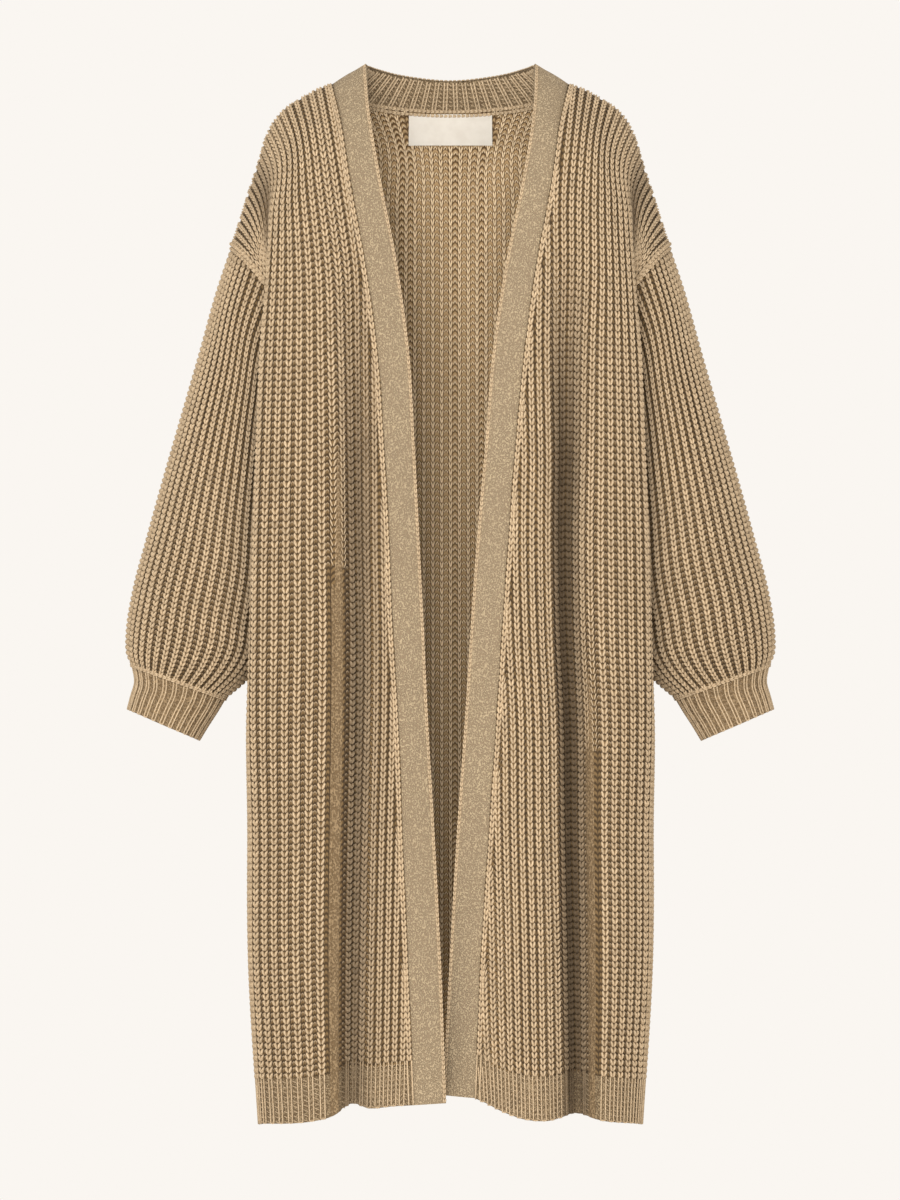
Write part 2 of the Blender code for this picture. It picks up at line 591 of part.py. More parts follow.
def add_panel(name, points, normals, mirrored=False, rising=False):
    """A front or the back, with a rib on every other column of its outside."""
    ribs = rib_height(BODY_ROWS)[:, None] * (np.arange(points.shape[1]) % 2)[None]
    levels = np.array(BODY_ROWS)
    under_arm = (levels > UNDER_ARM_LEVELS[0]) & (levels < UNDER_ARM_LEVELS[1])
    ribs[:, (1, -2)] = 0.0
    ribs[under_arm, :UNDER_ARM_COLUMNS] = 0.0
    ribs[under_arm, -UNDER_ARM_COLUMNS:] = 0.0
    outer = points + normals * ribs[..., None]
    inner = (points - normals * WALL)[:, ::INNER_STEP]
    return wall(name, outer, inner, "knit", mirrored=mirrored, rising=rising)


def add_fronts():
    """Both fronts and their bands."""
    for side, mirrored in (("right", True), ("left", False)):
        points, normals = front_surface(side, BODY_ROWS)
        band, band_normals = band_surface(side, BODY_ROWS)
        shared = unit(normals[1:, -1] + band_normals[1:, 0])
        normals[1:, -1] = band_normals[1:, 0] = shared
        part_panel(points, normals)
        band[0] = part_seam(band[0], band_normals[0], band[1])
        band[:, 0] = part_seam(band[:, 0], band_normals[:, 0], band[:, 1])
        add_panel("front_" + side, points, normals, mirrored)
        thickness = np.array([WALL] + [BAND_WALL] * (BAND_COLUMNS - 1))[:, None]
        wall("band_" + side, band, band - band_normals * thickness, "band", mirrored=mirrored)


def add_back():
    """The back panel, the neck rib along its top and the label inside it."""
    points, normals = back_surface(BODY_ROWS)
    neck, neck_normals = neck_surface()
    first = 2 * (BACK_SIDE_WALES + BACK_SHOULDER_WALES)
    shared = unit(normals[0, first:-first] + neck_normals[-1])
    normals[0, first:-first] = shared
    under_neck = points[0, first:-first]
    chords = (under_neck - shared * WALL)[::INNER_STEP]
    behind_neck = resampled(chords, neck.shape[1])
    part_panel(points, normals)
    add_panel("back", points, normals, rising=True)

    ribs = np.tile(np.arange(neck.shape[1]) % 2, (NECK_ROWS, 1)) * NECK_RIB_RAISE
    outer = neck + neck_normals * ribs[..., None]
    inner = neck - neck_normals * (BAND_WALL + ribs)[..., None]
    lift = part_seam(neck[-1], shared, neck[-2]) - neck[-1]
    outer[-1] = neck[-1] + lift
    inner[-1] = behind_neck + resampled(lift[::INNER_STEP], neck.shape[1])
    for face in (outer, inner):
        face[:, 0] += (SEAM_GAP / 2, 0.0, 0.0)
        face[:, -1] -= (SEAM_GAP / 2, 0.0, 0.0)
    wall("neck_rib", outer, inner, "band", fan=INNER_STEP)

    inside = (points - normals * WALL)[:len(LABEL_LEVELS), ::INNER_STEP]
    inward = -normals[:len(LABEL_LEVELS), ::INNER_STEP]
    far, facing = on_label(inside, inside), unit(on_label(inside, inward))
    near = far + facing * LABEL_CLEARANCE
    wall("label", near, near + facing * LABEL_THICKNESS, "label")


def resampled(vectors, count):
    """The vectors along a seam, at another count of even steps."""
    at = np.linspace(0.0, 1.0, count)
    have = np.linspace(0.0, 1.0, len(vectors))
    return np.column_stack([np.interp(at, have, column) for column in vectors.T])


def on_label(cloth, values):
    """Values given on the top rows of the back, at the label's own rows and columns."""
    across = np.linspace(-LABEL_WIDTH / 2, LABEL_WIDTH / 2, LABEL_COLUMNS)
    rows = np.array([np.column_stack([np.interp(across, line[:, 0], column)
                                      for column in row.T]) for line, row in zip(cloth, values)])
    flat = rows.reshape(len(rows), -1)
    at = np.array([np.interp(LABEL_LEVELS, BODY_ROWS[:len(flat)], column) for column in flat.T])
    return at.T.reshape(len(LABEL_LEVELS), LABEL_COLUMNS, 3)


def add_arms():
    """Both sleeves, each on the edge of its armhole, and their cuffs."""
    at = np.array([level for level in BODY_ROWS if level <= ARMPIT_LEVEL])
    edge = front_surface("left", at)[0][:, 0]
    normals = armhole_normals(armhole_shares(at))
    share = armhole_shares(at)
    per_span = SLEEVE_WALES // (len(at) - 1)
    steps = np.arange(SLEEVE_WALES + 1) / per_span
    spans = np.arange(len(at))

    def along(values):
        return np.column_stack([np.interp(steps, spans, column) for column in values.T])

    front, facing = along(edge), along(normals)
    half_turn = np.interp(steps, spans, share) * math.pi
    top = np.vstack([front, front[-2:0:-1] * (1, -1, 1)])
    top_normals = unit(np.vstack([facing, facing[-2:0:-1] * (1, -1, 1)]))
    seam_turn = np.concatenate([half_turn, 2 * math.pi - half_turn[-2:0:-1]])
    even_turn = np.linspace(0.0, 2 * math.pi, 2 * SLEEVE_WALES, endpoint=False)
    evenness = np.minimum(np.arange(len(SLEEVE_LEVELS)) / EVEN_BY_RING, 1.0)
    turns = [seam_turn * (1 - e) + even_turn * e for e in evenness]

    points, normals = arm_surface(SLEEVE_LEVELS, turns, SLEEVE_STATIONS, top, top_normals)
    cuff, cuff_normals = arm_surface(CUFF_LEVELS, [even_turn] * len(CUFF_LEVELS), CUFF_STATIONS)
    from_middle = unit(cuff[0] - cuff[0].mean(axis=0))
    normals[-1] = cuff_normals[0] = from_middle
    points[0] = part_seam(points[0], normals[0], points[1], closed=True)
    points[-1] = part_seam(points[-1], normals[-1], points[-2], closed=True)
    cuff[0] = part_seam(cuff[0], cuff_normals[0], cuff[1], closed=True)

    ribs = (np.arange(points.shape[1]) % 2)[None] * np.full(len(points), RIB_RAISE)[:, None]
    ribs[0] = ribs[-1] = 0.0
    ribs[1, np.cos(even_turn) < 0.0] = 0.0
    outer = points + normals * ribs[..., None]
    inner = (points - normals * WALL)[:, ::per_span]
    per_rib = 2 * SLEEVE_WALES // CUFF_RIBS
    raised = np.isin(np.arange(cuff.shape[1]) % per_rib, (1, 2))
    cuff_ribs = raised[None] * np.full(len(cuff), HEM_RIB_RAISE)[:, None]
    cuff_ribs[0] = 0.0
    cuff_outer = cuff + cuff_normals * cuff_ribs[..., None]
    cuff_inner = (cuff - cuff_normals * WALL)[:, ::INNER_STEP]
    for side, mirrored in (("right", True), ("left", False)):
        wall("sleeve_" + side, outer, inner, "knit", closed=True, mirrored=mirrored)
        wall("cuff_" + side, cuff_outer, cuff_inner, "knit", closed=True, mirrored=mirrored)


def main():
    """Builds every piece of the cardigan."""
    for item in list(bpy.data.objects):
        bpy.data.objects.remove(item, do_unlink=True)
    add_fronts()
    add_back()
    add_arms()


main()
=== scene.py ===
"""Looks of a long open-front chunky knit cardigan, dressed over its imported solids.

Each knitted piece is a closed wall of cloth on the form of its solid, which it stands for, and
carries its stitches as loops of yarn laid course by course.  Every size is in millimetres until
a mesh is made.  The front faces -Y and the wearer's left is +X.
"""
from __future__ import annotations

import logging
import math
from dataclasses import dataclass, field
from enum import Enum

import bpy
import numpy as np
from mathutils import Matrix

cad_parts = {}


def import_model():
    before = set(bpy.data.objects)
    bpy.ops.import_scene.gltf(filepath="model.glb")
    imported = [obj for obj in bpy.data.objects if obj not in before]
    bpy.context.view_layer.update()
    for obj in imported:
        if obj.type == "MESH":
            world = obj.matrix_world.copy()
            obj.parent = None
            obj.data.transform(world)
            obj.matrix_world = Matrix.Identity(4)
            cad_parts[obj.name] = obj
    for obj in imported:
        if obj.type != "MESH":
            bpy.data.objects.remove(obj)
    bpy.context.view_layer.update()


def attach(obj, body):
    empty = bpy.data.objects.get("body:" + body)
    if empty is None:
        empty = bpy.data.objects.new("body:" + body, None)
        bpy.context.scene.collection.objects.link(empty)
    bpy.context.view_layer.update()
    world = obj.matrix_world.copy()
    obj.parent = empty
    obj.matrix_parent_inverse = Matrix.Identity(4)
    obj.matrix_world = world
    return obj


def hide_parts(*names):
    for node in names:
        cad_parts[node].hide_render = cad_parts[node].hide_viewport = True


LOG = logging.getLogger("cardigan")
MM = 0.001
BODY = "root"


class Side(Enum):
    """The wearer's side that a piece belongs to; its value is the sign of x there."""

    RIGHT = -1
    LEFT = 1

    @property
    def word(self) -> str:
        """The side's word in the names of nodes."""
        return self.name.lower()


class Face(Enum):
    """Which face of the cloth carries the stitches; its value turns the normals."""

    OUTSIDE = 1
    INSIDE = -1


# ------------------------------------------------------------------ tables of the form (mm)
# Shoulder line from the neck seam over the shoulder to the dropped armhole: x, z.
SHOULDER_LINE = (
    (124.0, -18.0), (141.0, -25.0), (160.0, -35.5), (173.0, -44.0), (184.0, -56.0),
    (194.0, -77.0), (203.0, -107.0), (211.0, -131.0), (220.0, -160.0), (229.0, -188.0))
SHOULDER_CORNER_X = 196.0
SHOULDER_FOLD_X = 134.0

ARMHOLE_TOP = (229.0, -188.0)
ARMHOLE_MIDDLE = (189.0, -232.0)
ARMHOLE_BOTTOM = (156.0, -300.0)
ARMHOLE_HALF_DEPTH = 56.0

# Share of the drop from the band seam to the armhole at each control line of a section.
DROP_SHARE = {"crest": 0.10, "corner": 0.37, "dent": 0.70, "edge": 1.0}

BODY_COLUMNS = ("seam_z", "crest_x", "crest_y", "corner_x", "corner_y",
                "dent_x", "dent_y", "side_x", "armhole_share")
BODY_LEVELS = (
    (-52.0, 155.0, 54.0, 187.0, 45.0, 206.0, 40.0, None, 0.20),
    (-125.0, 155.0, 92.0, 190.0, 74.0, 194.0, 63.0, None, 0.45),
    (-212.0, 156.0, 109.0, 194.0, 86.0, 170.0, 67.0, None, 0.75),
    (-300.0, 158.0, 117.0, 199.0, 91.0, 160.0, 52.0, 156.0, 1.00),
    (-400.0, 160.0, 120.0, 203.0, 92.0, 164.0, 53.0, 144.0, None),
    (-500.0, 160.0, 122.0, 207.0, 92.0, 177.0, 54.0, 158.0, None),
    (-600.0, 160.0, 122.0, 209.0, 91.0, 194.0, 52.0, 179.0, None),
    (-680.0, 160.0, 122.0, 210.0, 88.0, 208.0, 50.0, 203.0, None),
    (-800.0, 160.0, 122.0, 207.0, 86.0, 211.0, 46.0, 210.0, None),
    (-950.0, 158.0, 122.0, 206.0, 86.0, 210.0, 46.0, 210.0, None),
    (-1090.0, 152.0, 120.0, 197.0, 84.0, 200.0, 44.0, 200.0, None))

OPENING_COLUMNS = ("seam_x", "seam_y", "flat_x", "flat_y", "fold_x", "fold_depth",
                   "free_x", "free_y", "free_z")
OPENING = {
    Side.RIGHT: (
        (116.0, 50.0, 122.0, 52.0, 128.0, 0.0, 86.5, 43.0, -34.0),
        (104.0, 82.0, 112.0, 85.0, 116.0, 0.0, 74.5, 76.0, -112.0),
        (88.0, 98.0, 96.0, 101.0, 104.0, 4.0, 56.5, 92.0, -205.0),
        (76.0, 106.0, 90.0, 110.0, 102.0, 10.0, 43.6, 100.0, -298.0),
        (69.0, 110.0, 85.0, 114.0, 101.0, 16.0, 37.5, 104.0, -400.0),
        (63.5, 113.0, 82.0, 117.0, 99.0, 20.0, 32.5, 106.0, -500.0),
        (59.5, 114.0, 80.0, 118.0, 98.0, 22.0, 27.5, 107.0, -600.0),
        (54.5, 115.0, 78.0, 119.0, 99.0, 23.0, 24.0, 108.0, -680.0),
        (50.0, 116.0, 75.0, 120.0, 101.0, 23.0, 17.0, 109.0, -800.0),
        (43.5, 118.0, 70.0, 121.0, 103.0, 24.0, 9.5, 111.0, -950.0),
        (38.0, 120.0, 68.0, 122.0, 104.0, 24.0, 4.5, 114.0, -1088.0)),
    Side.LEFT: (
        (116.0, 50.0, 122.0, 52.0, 130.0, 0.0, 88.0, 43.0, -34.0),
        (105.0, 82.0, 114.0, 85.0, 124.0, 0.0, 77.0, 76.0, -112.0),
        (89.0, 98.0, 103.0, 102.0, 123.0, 6.0, 58.5, 92.0, -205.0),
        (77.0, 106.0, 95.0, 111.0, 122.0, 16.0, 44.6, 100.0, -298.0),
        (67.5, 110.0, 90.0, 115.0, 121.0, 24.0, 36.3, 104.0, -400.0),
        (60.0, 113.0, 85.0, 118.0, 120.0, 30.0, 27.5, 106.0, -500.0),
        (53.0, 114.0, 82.0, 120.0, 122.0, 33.0, 20.5, 106.0, -600.0),
        (48.0, 115.0, 80.0, 121.0, 125.0, 34.0, 15.5, 106.0, -680.0),
        (40.0, 114.0, 78.0, 122.0, 127.0, 35.0, 7.0, 103.0, -800.0),
        (30.5, 107.0, 77.0, 122.0, 129.0, 36.0, -1.5, 93.0, -950.0),
        (25.5, 98.0, 78.0, 121.0, 131.0, 36.0, -8.0, 84.0, -1080.0))}
FOLD_WIDTH = {Side.RIGHT: 14.0, Side.LEFT: 19.0}
# The crease at the bottom of each long fold; it grows down the front between two levels.
CREASE_COLUMNS = ("depth", "to_seam", "to_band", "squareness", "lip", "lip_at", "lip_width")
CREASE = {Side.RIGHT: (5.0, 9.0, 8.0, 2, 9.0, -20.0, 8.0),
          Side.LEFT: (16.0, 13.0, 11.0, 4, 9.0, 20.0, 7.0)}
CREASE_GROWS = ((180.0, 420.0), (0.0, 1.0))
# Painted shade down in each fold: how much darker the yarn is made there, and how far that
# reaches towards the side seam and towards the band.
FOLD_SHADE = {Side.RIGHT: (0.6, 11.0, 30.0), Side.LEFT: (1.0, 20.0, 17.0)}
# The hollow in front of the dropped shoulder: its levels, how far in it is at each, its column
# (half wales from the side), its half width in columns, depth and painted shade.
HOLLOW_GROWS = ((95.0, 150.0, 240.0, 285.0), (0.0, 1.0, 1.0, 0.0))
HOLLOW = (18.0, 4.6, 4.0, 0.95)
# The smooth pressed edge beside the fold: the level it begins at, and the half wales from the
# fold to it and across it.
PRESSED = {Side.RIGHT: (-330.0, 3.0, 2.7), Side.LEFT: (-520.0, 4.0, 3.4)}

HEM_COLUMNS = ("seam", "flat", "crest", "corner", "dent", "edge", "fold_lift")
HEM = {
    Side.RIGHT: (-1090.0, -1092.0, -1108.0, -1110.0, -1111.0, -1112.0, 10.0),
    Side.LEFT: (-1083.0, -1105.0, -1107.0, -1110.0, -1111.0, -1112.0, 8.0)}
HEM_BACK = (-1084.0, -1086.0, -1093.0, -1105.0, -1110.0, -1112.0, 4.0)

BACK_COLUMNS = ("seam_z", "middle_z", "middle_y", "half_x", "half_y", "neck_x", "neck_y")
BACK_LEVELS = (
    (-52.0, -96.0, 92.0, 66.0, 84.0, 124.0, 58.0),
    (-125.0, -160.0, 107.0, 64.0, 105.0, 123.0, 96.0),
    (-212.0, -230.0, 114.0, 63.0, 114.0, 123.0, 110.0),
    (-300.0, -300.0, 117.0, 63.0, 119.0, 123.0, 116.0),
    (-400.0, -400.0, 118.0, 63.0, 121.0, 123.0, 119.0),
    (-500.0, -500.0, 118.0, 63.0, 122.0, 123.0, 120.0),
    (-600.0, -600.0, 118.0, 63.0, 122.0, 123.0, 121.0),
    (-680.0, -680.0, 118.0, 63.0, 122.0, 123.0, 121.0),
    (-800.0, -800.0, 119.0, 63.0, 123.0, 123.0, 121.0),
    (-950.0, -950.0, 120.0, 63.0, 124.0, 123.0, 122.0),
    (-1090.0, -1090.0, 120.0, 62.0, 124.0, 121.0, 121.0))
# Troughs down the back: x, width, depth at the chest, depth at the hem.
BACK_FOLDS = (
    (-128.0, 22.0, 4.0, 17.0),
    (-46.0, 26.0, 3.0, 13.0),
    (52.0, 24.0, 3.0, 15.0),
    (134.0, 22.0, 4.0, 18.0))
BACK_FOLDS_FROM = 60.0
BACK_FOLDS_BEHIND = 60.0
NECK_TURN = 12.0

NECK_SEAM = ((124.0, 0.0, -18.0), (112.0, 31.0, -29.0), (70.0, 58.0, -40.0), (0.0, 70.0, -45.0))
NECK_FREE = ((88.7, 0.0, 2.0), (79.0, 27.0, -1.5), (52.0, 50.0, -8.5), (0.0, 60.0, -14.0))

# Rings along the arm: outermost point (x, z), innermost point (x, z), half the depth.
SLEEVE_LEVELS = (
    (229.0, -188.0, 156.0, -300.0, 56.0),
    (244.0, -234.0, 177.0, -326.0, 56.0),
    (262.0, -300.0, 185.0, -378.0, 58.0),
    (281.0, -366.0, 187.0, -435.0, 62.0),
    (300.0, -432.0, 188.0, -492.0, 66.0),
    (318.0, -497.0, 188.0, -548.0, 70.0),
    (332.0, -550.0, 194.0, -592.0, 72.0),
    (339.0, -594.0, 201.0, -626.0, 69.0),
    (339.0, -617.0, 216.0, -645.0, 58.0),
    (334.0, -629.0, 238.0, -664.0, 43.0))
CUFF_LEVELS = (
    (334.0, -629.0, 238.0, -664.0, 43.0),
    (331.0, -645.0, 245.0, -676.0, 38.5),
    (335.0, -661.0, 256.0, -693.0, 37.0),
    (339.0, -676.0, 265.0, -708.0, 38.0))
# Levels of the body between which the sleeve's wales are shared out evenly.
ARMHOLE_LEVELS = (18.0, 34.0, 52.0, 85.0, 125.0, 168.0, 212.0, 256.0, 300.0)
SEAM_SHAPE_KEPT = 0.4
EVEN_BY_RING = 2.0

SIDE_WALES = 12         # side seam to the front corner of the body
FRONT_WALES = 10        # from there to the long fold
BACK_SIDE_WALES = 8
BACK_SHOULDER_WALES = 8
BACK_NECK_WALES = 13
SLEEVE_WALES = 40
NECK_RIBS = 2 * BACK_NECK_WALES
CUFF_RIBS = 27
RIB_RISE = 0.9          # courses that the hem's close ground reaches up under the first Vs

PANEL_LEVELS = np.array([-SHOULDER_LINE[0][1]] + [-row[0] for row in BODY_LEVELS])
ARMPIT_LEVEL = -ARMHOLE_BOTTOM[1]
DENSE = 60              # points of a curve between two of its control points
NUDGE = 0.5             # to either side of a level, for the slope of the cloth there
OVER_SHOULDER = (1, -1, 1)
IN_SEAM_PLANE = (1, 0, 1)
SHARP_FROM = math.radians(60)
MIRRORED = (1, -1)      # a loop and its mirror image


# ------------------------------------------------------------------ curves
def named(names: tuple[str, ...], row: tuple) -> dict:
    """One row of a table by its column names."""
    return dict(zip(names, row))


def smooth(knots: np.ndarray, values: np.ndarray, at: np.ndarray) -> np.ndarray:
    """Values on the smooth curve through the given ones.

    Args:
        knots: Where along the curve each value lies, rising.
        values: The values, the first axis along the knots.
        at: Where the curve is read.

    Returns:
        The curve's values, the first axis along at.
    """
    knots, values, at = (np.asarray(item, float) for item in (knots, values, at))
    shape = (-1,) + (1,) * (values.ndim - 1)
    steps = np.diff(knots).reshape(shape)
    slopes = np.diff(values, axis=0) / steps
    tangents = np.empty_like(values)
    tangents[1:-1] = (slopes[:-1] * steps[1:] + slopes[1:] * steps[:-1]) / (steps[:-1] + steps[1:])
    tangents[0], tangents[-1] = slopes[0], slopes[-1]
    index = np.clip(np.searchsorted(knots, at, side="right") - 1, 0, len(steps) - 1)
    step = steps[index]
    t = (at - knots[index]).reshape(shape) / step
    return ((2 * t**3 - 3 * t**2 + 1) * values[index]
            + (t**3 - 2 * t**2 + t) * step * tangents[index]
            + (3 * t**2 - 2 * t**3) * values[index + 1]
            + (t**3 - t**2) * step * tangents[index + 1])


def through(points: list) -> tuple[np.ndarray, np.ndarray]:
    """A close-set curve through control points, and the index of each of them on it."""
    points = np.asarray(points, float)
    spans = np.sqrt(np.linalg.norm(np.diff(points, axis=0), axis=1))
    knots = np.concatenate([[0.0], np.cumsum(spans)])
    at = np.concatenate([np.linspace(a, b, DENSE, endpoint=False)
                         for a, b in zip(knots[:-1], knots[1:])] + [knots[-1:]])
    return smooth(knots, points, at), np.arange(len(points)) * DENSE


def arc_length(points: np.ndarray) -> np.ndarray:
    """Length along the first axis of points, from 0."""
    steps = np.linalg.norm(np.diff(points, axis=0), axis=-1)
    return np.concatenate([np.zeros((1,) + steps.shape[1:]), np.cumsum(steps, axis=0)])


def resampled(at: np.ndarray, knots: np.ndarray, values: np.ndarray) -> np.ndarray:
    """Rows of values read straight between the given ones.

    Args:
        at: Where they are read.
        knots: Where each row of values lies, rising.
        values: (knots, any number of columns).

    Returns:
        A row for each place in at.
    """
    return np.column_stack([np.interp(at, knots, column) for column in values.T])


def waved(wale: np.ndarray) -> np.ndarray:
    """0 between the wales or ribs, 1 on the middle of each."""
    return 0.5 - 0.5 * np.cos(2 * math.pi * wale)


def slope(knots: np.ndarray, rows: np.ndarray, at: np.ndarray, first: float) -> np.ndarray:
    """How a form runs down at the given levels, none above first."""
    return (smooth(knots, rows, np.minimum(at + NUDGE, knots[-1]))
            - smooth(knots, rows, np.maximum(at - NUDGE, first)))


def spread(curve: np.ndarray, anchors: tuple, wales: tuple) -> np.ndarray:
    """Points of a curve at half-wale steps.

    Args:
        curve: (count, 3).
        anchors: Indices of the points that a wale begins at.
        wales: How many wales lie between each two anchors.

    Returns:
        The points, with that at the last anchor.
    """
    length = arc_length(curve)
    at = [np.linspace(length[a], length[b], 2 * count, endpoint=False)
          for a, b, count in zip(anchors[:-1], anchors[1:], wales)]
    at = np.concatenate(at + [[length[anchors[-1]]]])
    return resampled(at, length, curve)


def nearest_x(curve: np.ndarray, x: float, first: int, last: int) -> int:
    """Index of the point of the curve nearest to x between two indices."""
    return first + int(np.argmin(np.abs(curve[first:last + 1, 0] - x)))


def unit(vectors: np.ndarray) -> np.ndarray:
    """The vectors at length 1."""
    return vectors / np.maximum(np.linalg.norm(vectors, axis=-1, keepdims=True), 1e-9)


def square_to(normals: np.ndarray, along: np.ndarray) -> np.ndarray:
    """The normals turned square to the given directions."""
    along = unit(along)
    return unit(normals - along * np.sum(normals * along, axis=-1, keepdims=True))


def armhole(share: np.ndarray) -> np.ndarray:
    """The armhole seam on the front: share runs from 0 at its top to 1 at the armpit."""
    share = np.asarray(share, float)
    ease = ((1 - np.cos(math.pi * share)) / 2)[..., None]
    top, middle, bottom = map(np.array, (ARMHOLE_TOP, ARMHOLE_MIDDLE, ARMHOLE_BOTTOM))
    pull = 2 * middle - (top + bottom) / 2
    path = (1 - ease)**2 * top + 2 * ease * (1 - ease) * pull + ease**2 * bottom
    depth = -ARMHOLE_HALF_DEPTH * np.sin(math.pi * share)
    return np.stack([path[..., 0], depth, path[..., 1]], axis=-1)


def armhole_normals(share: np.ndarray) -> np.ndarray:
    """Which way the outside of the cloth faces along the armhole seam, on the front."""
    share = np.asarray(share, float)
    turn = math.pi * share[..., None]
    top, front, under = map(np.array, ((0.95, 0.0, 0.30), (0.1, -1.0, 0.0), (0.0, 0.0, -1.0)))
    blend = np.cos(turn / 2)**2 * top + np.sin(turn) * front + np.sin(turn / 2)**2 * under
    step = 0.01
    return square_to(blend, armhole(share + step) - armhole(share - step))


def armhole_shares(at: np.ndarray) -> np.ndarray:
    """How far round the armhole each level reaches, down to the armpit."""
    shares = [0.0] + [row[-1] for row in BODY_LEVELS if row[-1] is not None]
    return np.clip(smooth(PANEL_LEVELS[:len(shares)], shares, at), 0.0, 1.0)


def row_levels(body: dict, sign: int, hem: dict) -> tuple[np.ndarray, dict]:
    """The side edge and the heights of the control lines in one section of a panel.

    Args:
        body: A row of BODY_LEVELS.
        sign: -1 for a front, 1 for the back.
        hem: The heights at the hem, by name.

    Returns:
        The point of the side edge, and the height of each control line by name.
    """
    if body["armhole_share"] is None or body["side_x"] is not None:
        edge = np.array([body["side_x"], 0.0, body["seam_z"]])
    else:
        edge = armhole(body["armhole_share"]) * (1, -sign, 1)
    drop = body["seam_z"] - edge[2]
    level = {name: body["seam_z"] - share * drop for name, share in DROP_SHARE.items()}
    if body["seam_z"] == BODY_LEVELS[-1][0]:
        level = hem
        edge[2] = hem["edge"]
    return edge, level


def shared_points(body: dict, sign: int, level: dict) -> list[tuple]:
    """The control points that a front and the back share at one level."""
    return [(body["dent_x"], sign * body["dent_y"], level["dent"]),
            (body["corner_x"], sign * body["corner_y"], level["corner"])]


def neck_half(table: tuple) -> np.ndarray:
    """A curve round the back of the neck, from the left neck point to the middle."""
    curve, at = through(list(table) + [(-x, y, z) for x, y, z in table[-2::-1]])
    return curve[:at[len(table) - 1] + 1]


# ------------------------------------------------------------------ surfaces
@dataclass
class Surface:
    """A piece of cloth's outer face as a grid.

    Attributes:
        points: Rows from the top edge down, columns across, three values each.
        normals: The way the outside faces at each point.
        wale: How many wales lie before each column, one value a point.
        closed: Whether the last column joins the first.
    """

    points: np.ndarray
    normals: np.ndarray
    wale: np.ndarray
    closed: bool = False

    def mirrored(self, side: Side) -> Surface:
        """The surface on the given side; it is built on the wearer's left."""
        turn = (side.value, 1, 1)
        return Surface(self.points * turn, self.normals * turn, self.wale, self.closed)

    def rows(self, every: int) -> Surface:
        """The surface with fewer rows; its last row is kept."""
        keep = list(range(0, len(self.points) - 1, every)) + [len(self.points) - 1]
        return Surface(self.points[keep], self.normals[keep], self.wale[keep], self.closed)

    def top_ring(self) -> tuple[np.ndarray, np.ndarray]:
        """Points and normals round the top edge of a tube, closed on themselves."""
        return tuple(np.vstack([values[0], values[0][:1]])
                     for values in (self.points, self.normals))


def panel_levels(step: float) -> np.ndarray:
    """Levels down a panel, closer together over the shoulder."""
    turn = PANEL_LEVELS[2]
    first = np.arange(PANEL_LEVELS[0], turn, step / 2)
    return np.concatenate([first, np.arange(turn, PANEL_LEVELS[-1] - step / 2, step),
                           PANEL_LEVELS[-1:]])


def hung(rows: np.ndarray, lead: np.ndarray, at: np.ndarray) -> tuple[np.ndarray, np.ndarray]:
    """Points and outward normals of a panel at the given levels.

    Args:
        rows: One section of the panel for each of PANEL_LEVELS.
        lead: A section ahead of the first, which sets how the cloth leaves its top edge.
        at: The levels wanted.

    Returns:
        The points and the normals, each with a row for each level.
    """
    rows = np.concatenate([lead[None], rows])
    knots = np.concatenate([[2 * PANEL_LEVELS[0] - PANEL_LEVELS[1]], PANEL_LEVELS])
    points = smooth(knots, rows, at)
    down = slope(knots, rows, at, knots[1])
    return points, unit(np.cross(np.gradient(points, axis=1), down))


def side_edge_normals(points: np.ndarray, at: np.ndarray, sign: int) -> np.ndarray:
    """Normals down a panel's side edge: along the armhole, then down the side seam."""
    on_armhole = armhole_normals(armhole_shares(at)) * (1, -sign, 1)
    on_side = square_to(np.tile((1.0, 0.0, 0.0), (len(points), 1)),
                        np.gradient(points, axis=0) * IN_SEAM_PLANE)
    return np.where((at <= ARMPIT_LEVEL)[:, None], on_armhole, on_side)


def front_sections(side: Side, strip: int) -> tuple[np.ndarray, int]:
    """Sections of a front from its side edge to the band seam, on the wearer's left.

    Args:
        side: Which front.
        strip: Half steps between the long fold and the band seam.

    Returns:
        The sections, and the column of the long fold.
    """
    hem = named(HEM_COLUMNS, HEM[side])
    counts = (SIDE_WALES, FRONT_WALES, strip)
    line, ends = through([(x, 0.0, z) for x, z in reversed(SHOULDER_LINE)])
    corner = nearest_x(line, SHOULDER_CORNER_X, 0, ends[-1])
    fold = nearest_x(line, SHOULDER_FOLD_X, 0, ends[-1])
    rows = [spread(line, (0, corner, fold, ends[-1]), counts)]
    for body_row, opening_row in zip(BODY_LEVELS, OPENING[side]):
        body, gap = named(BODY_COLUMNS, body_row), named(OPENING_COLUMNS, opening_row)
        edge, level = row_levels(body, -1, hem)
        curve, at = through([
            edge, *shared_points(body, -1, level),
            (body["crest_x"], -body["crest_y"], level["crest"]),
            (gap["flat_x"], -gap["flat_y"], level.get("flat", body["seam_z"])),
            (gap["seam_x"], -gap["seam_y"], level.get("seam", body["seam_z"]))])
        trough = np.exp(-((curve[:, 0] - gap["fold_x"]) / FOLD_WIDTH[side])**2)
        trough[:at[2]] = 0.0
        curve[:, 1] += gap["fold_depth"] * trough
        curve[:, 2] += level.get("fold_lift", 0.0) * trough
        fold = nearest_x(curve, gap["fold_x"], at[2], at[5])
        rows.append(spread(curve, (0, at[2], fold, at[5]), counts))
    return np.array(rows), 2 * (SIDE_WALES + FRONT_WALES)


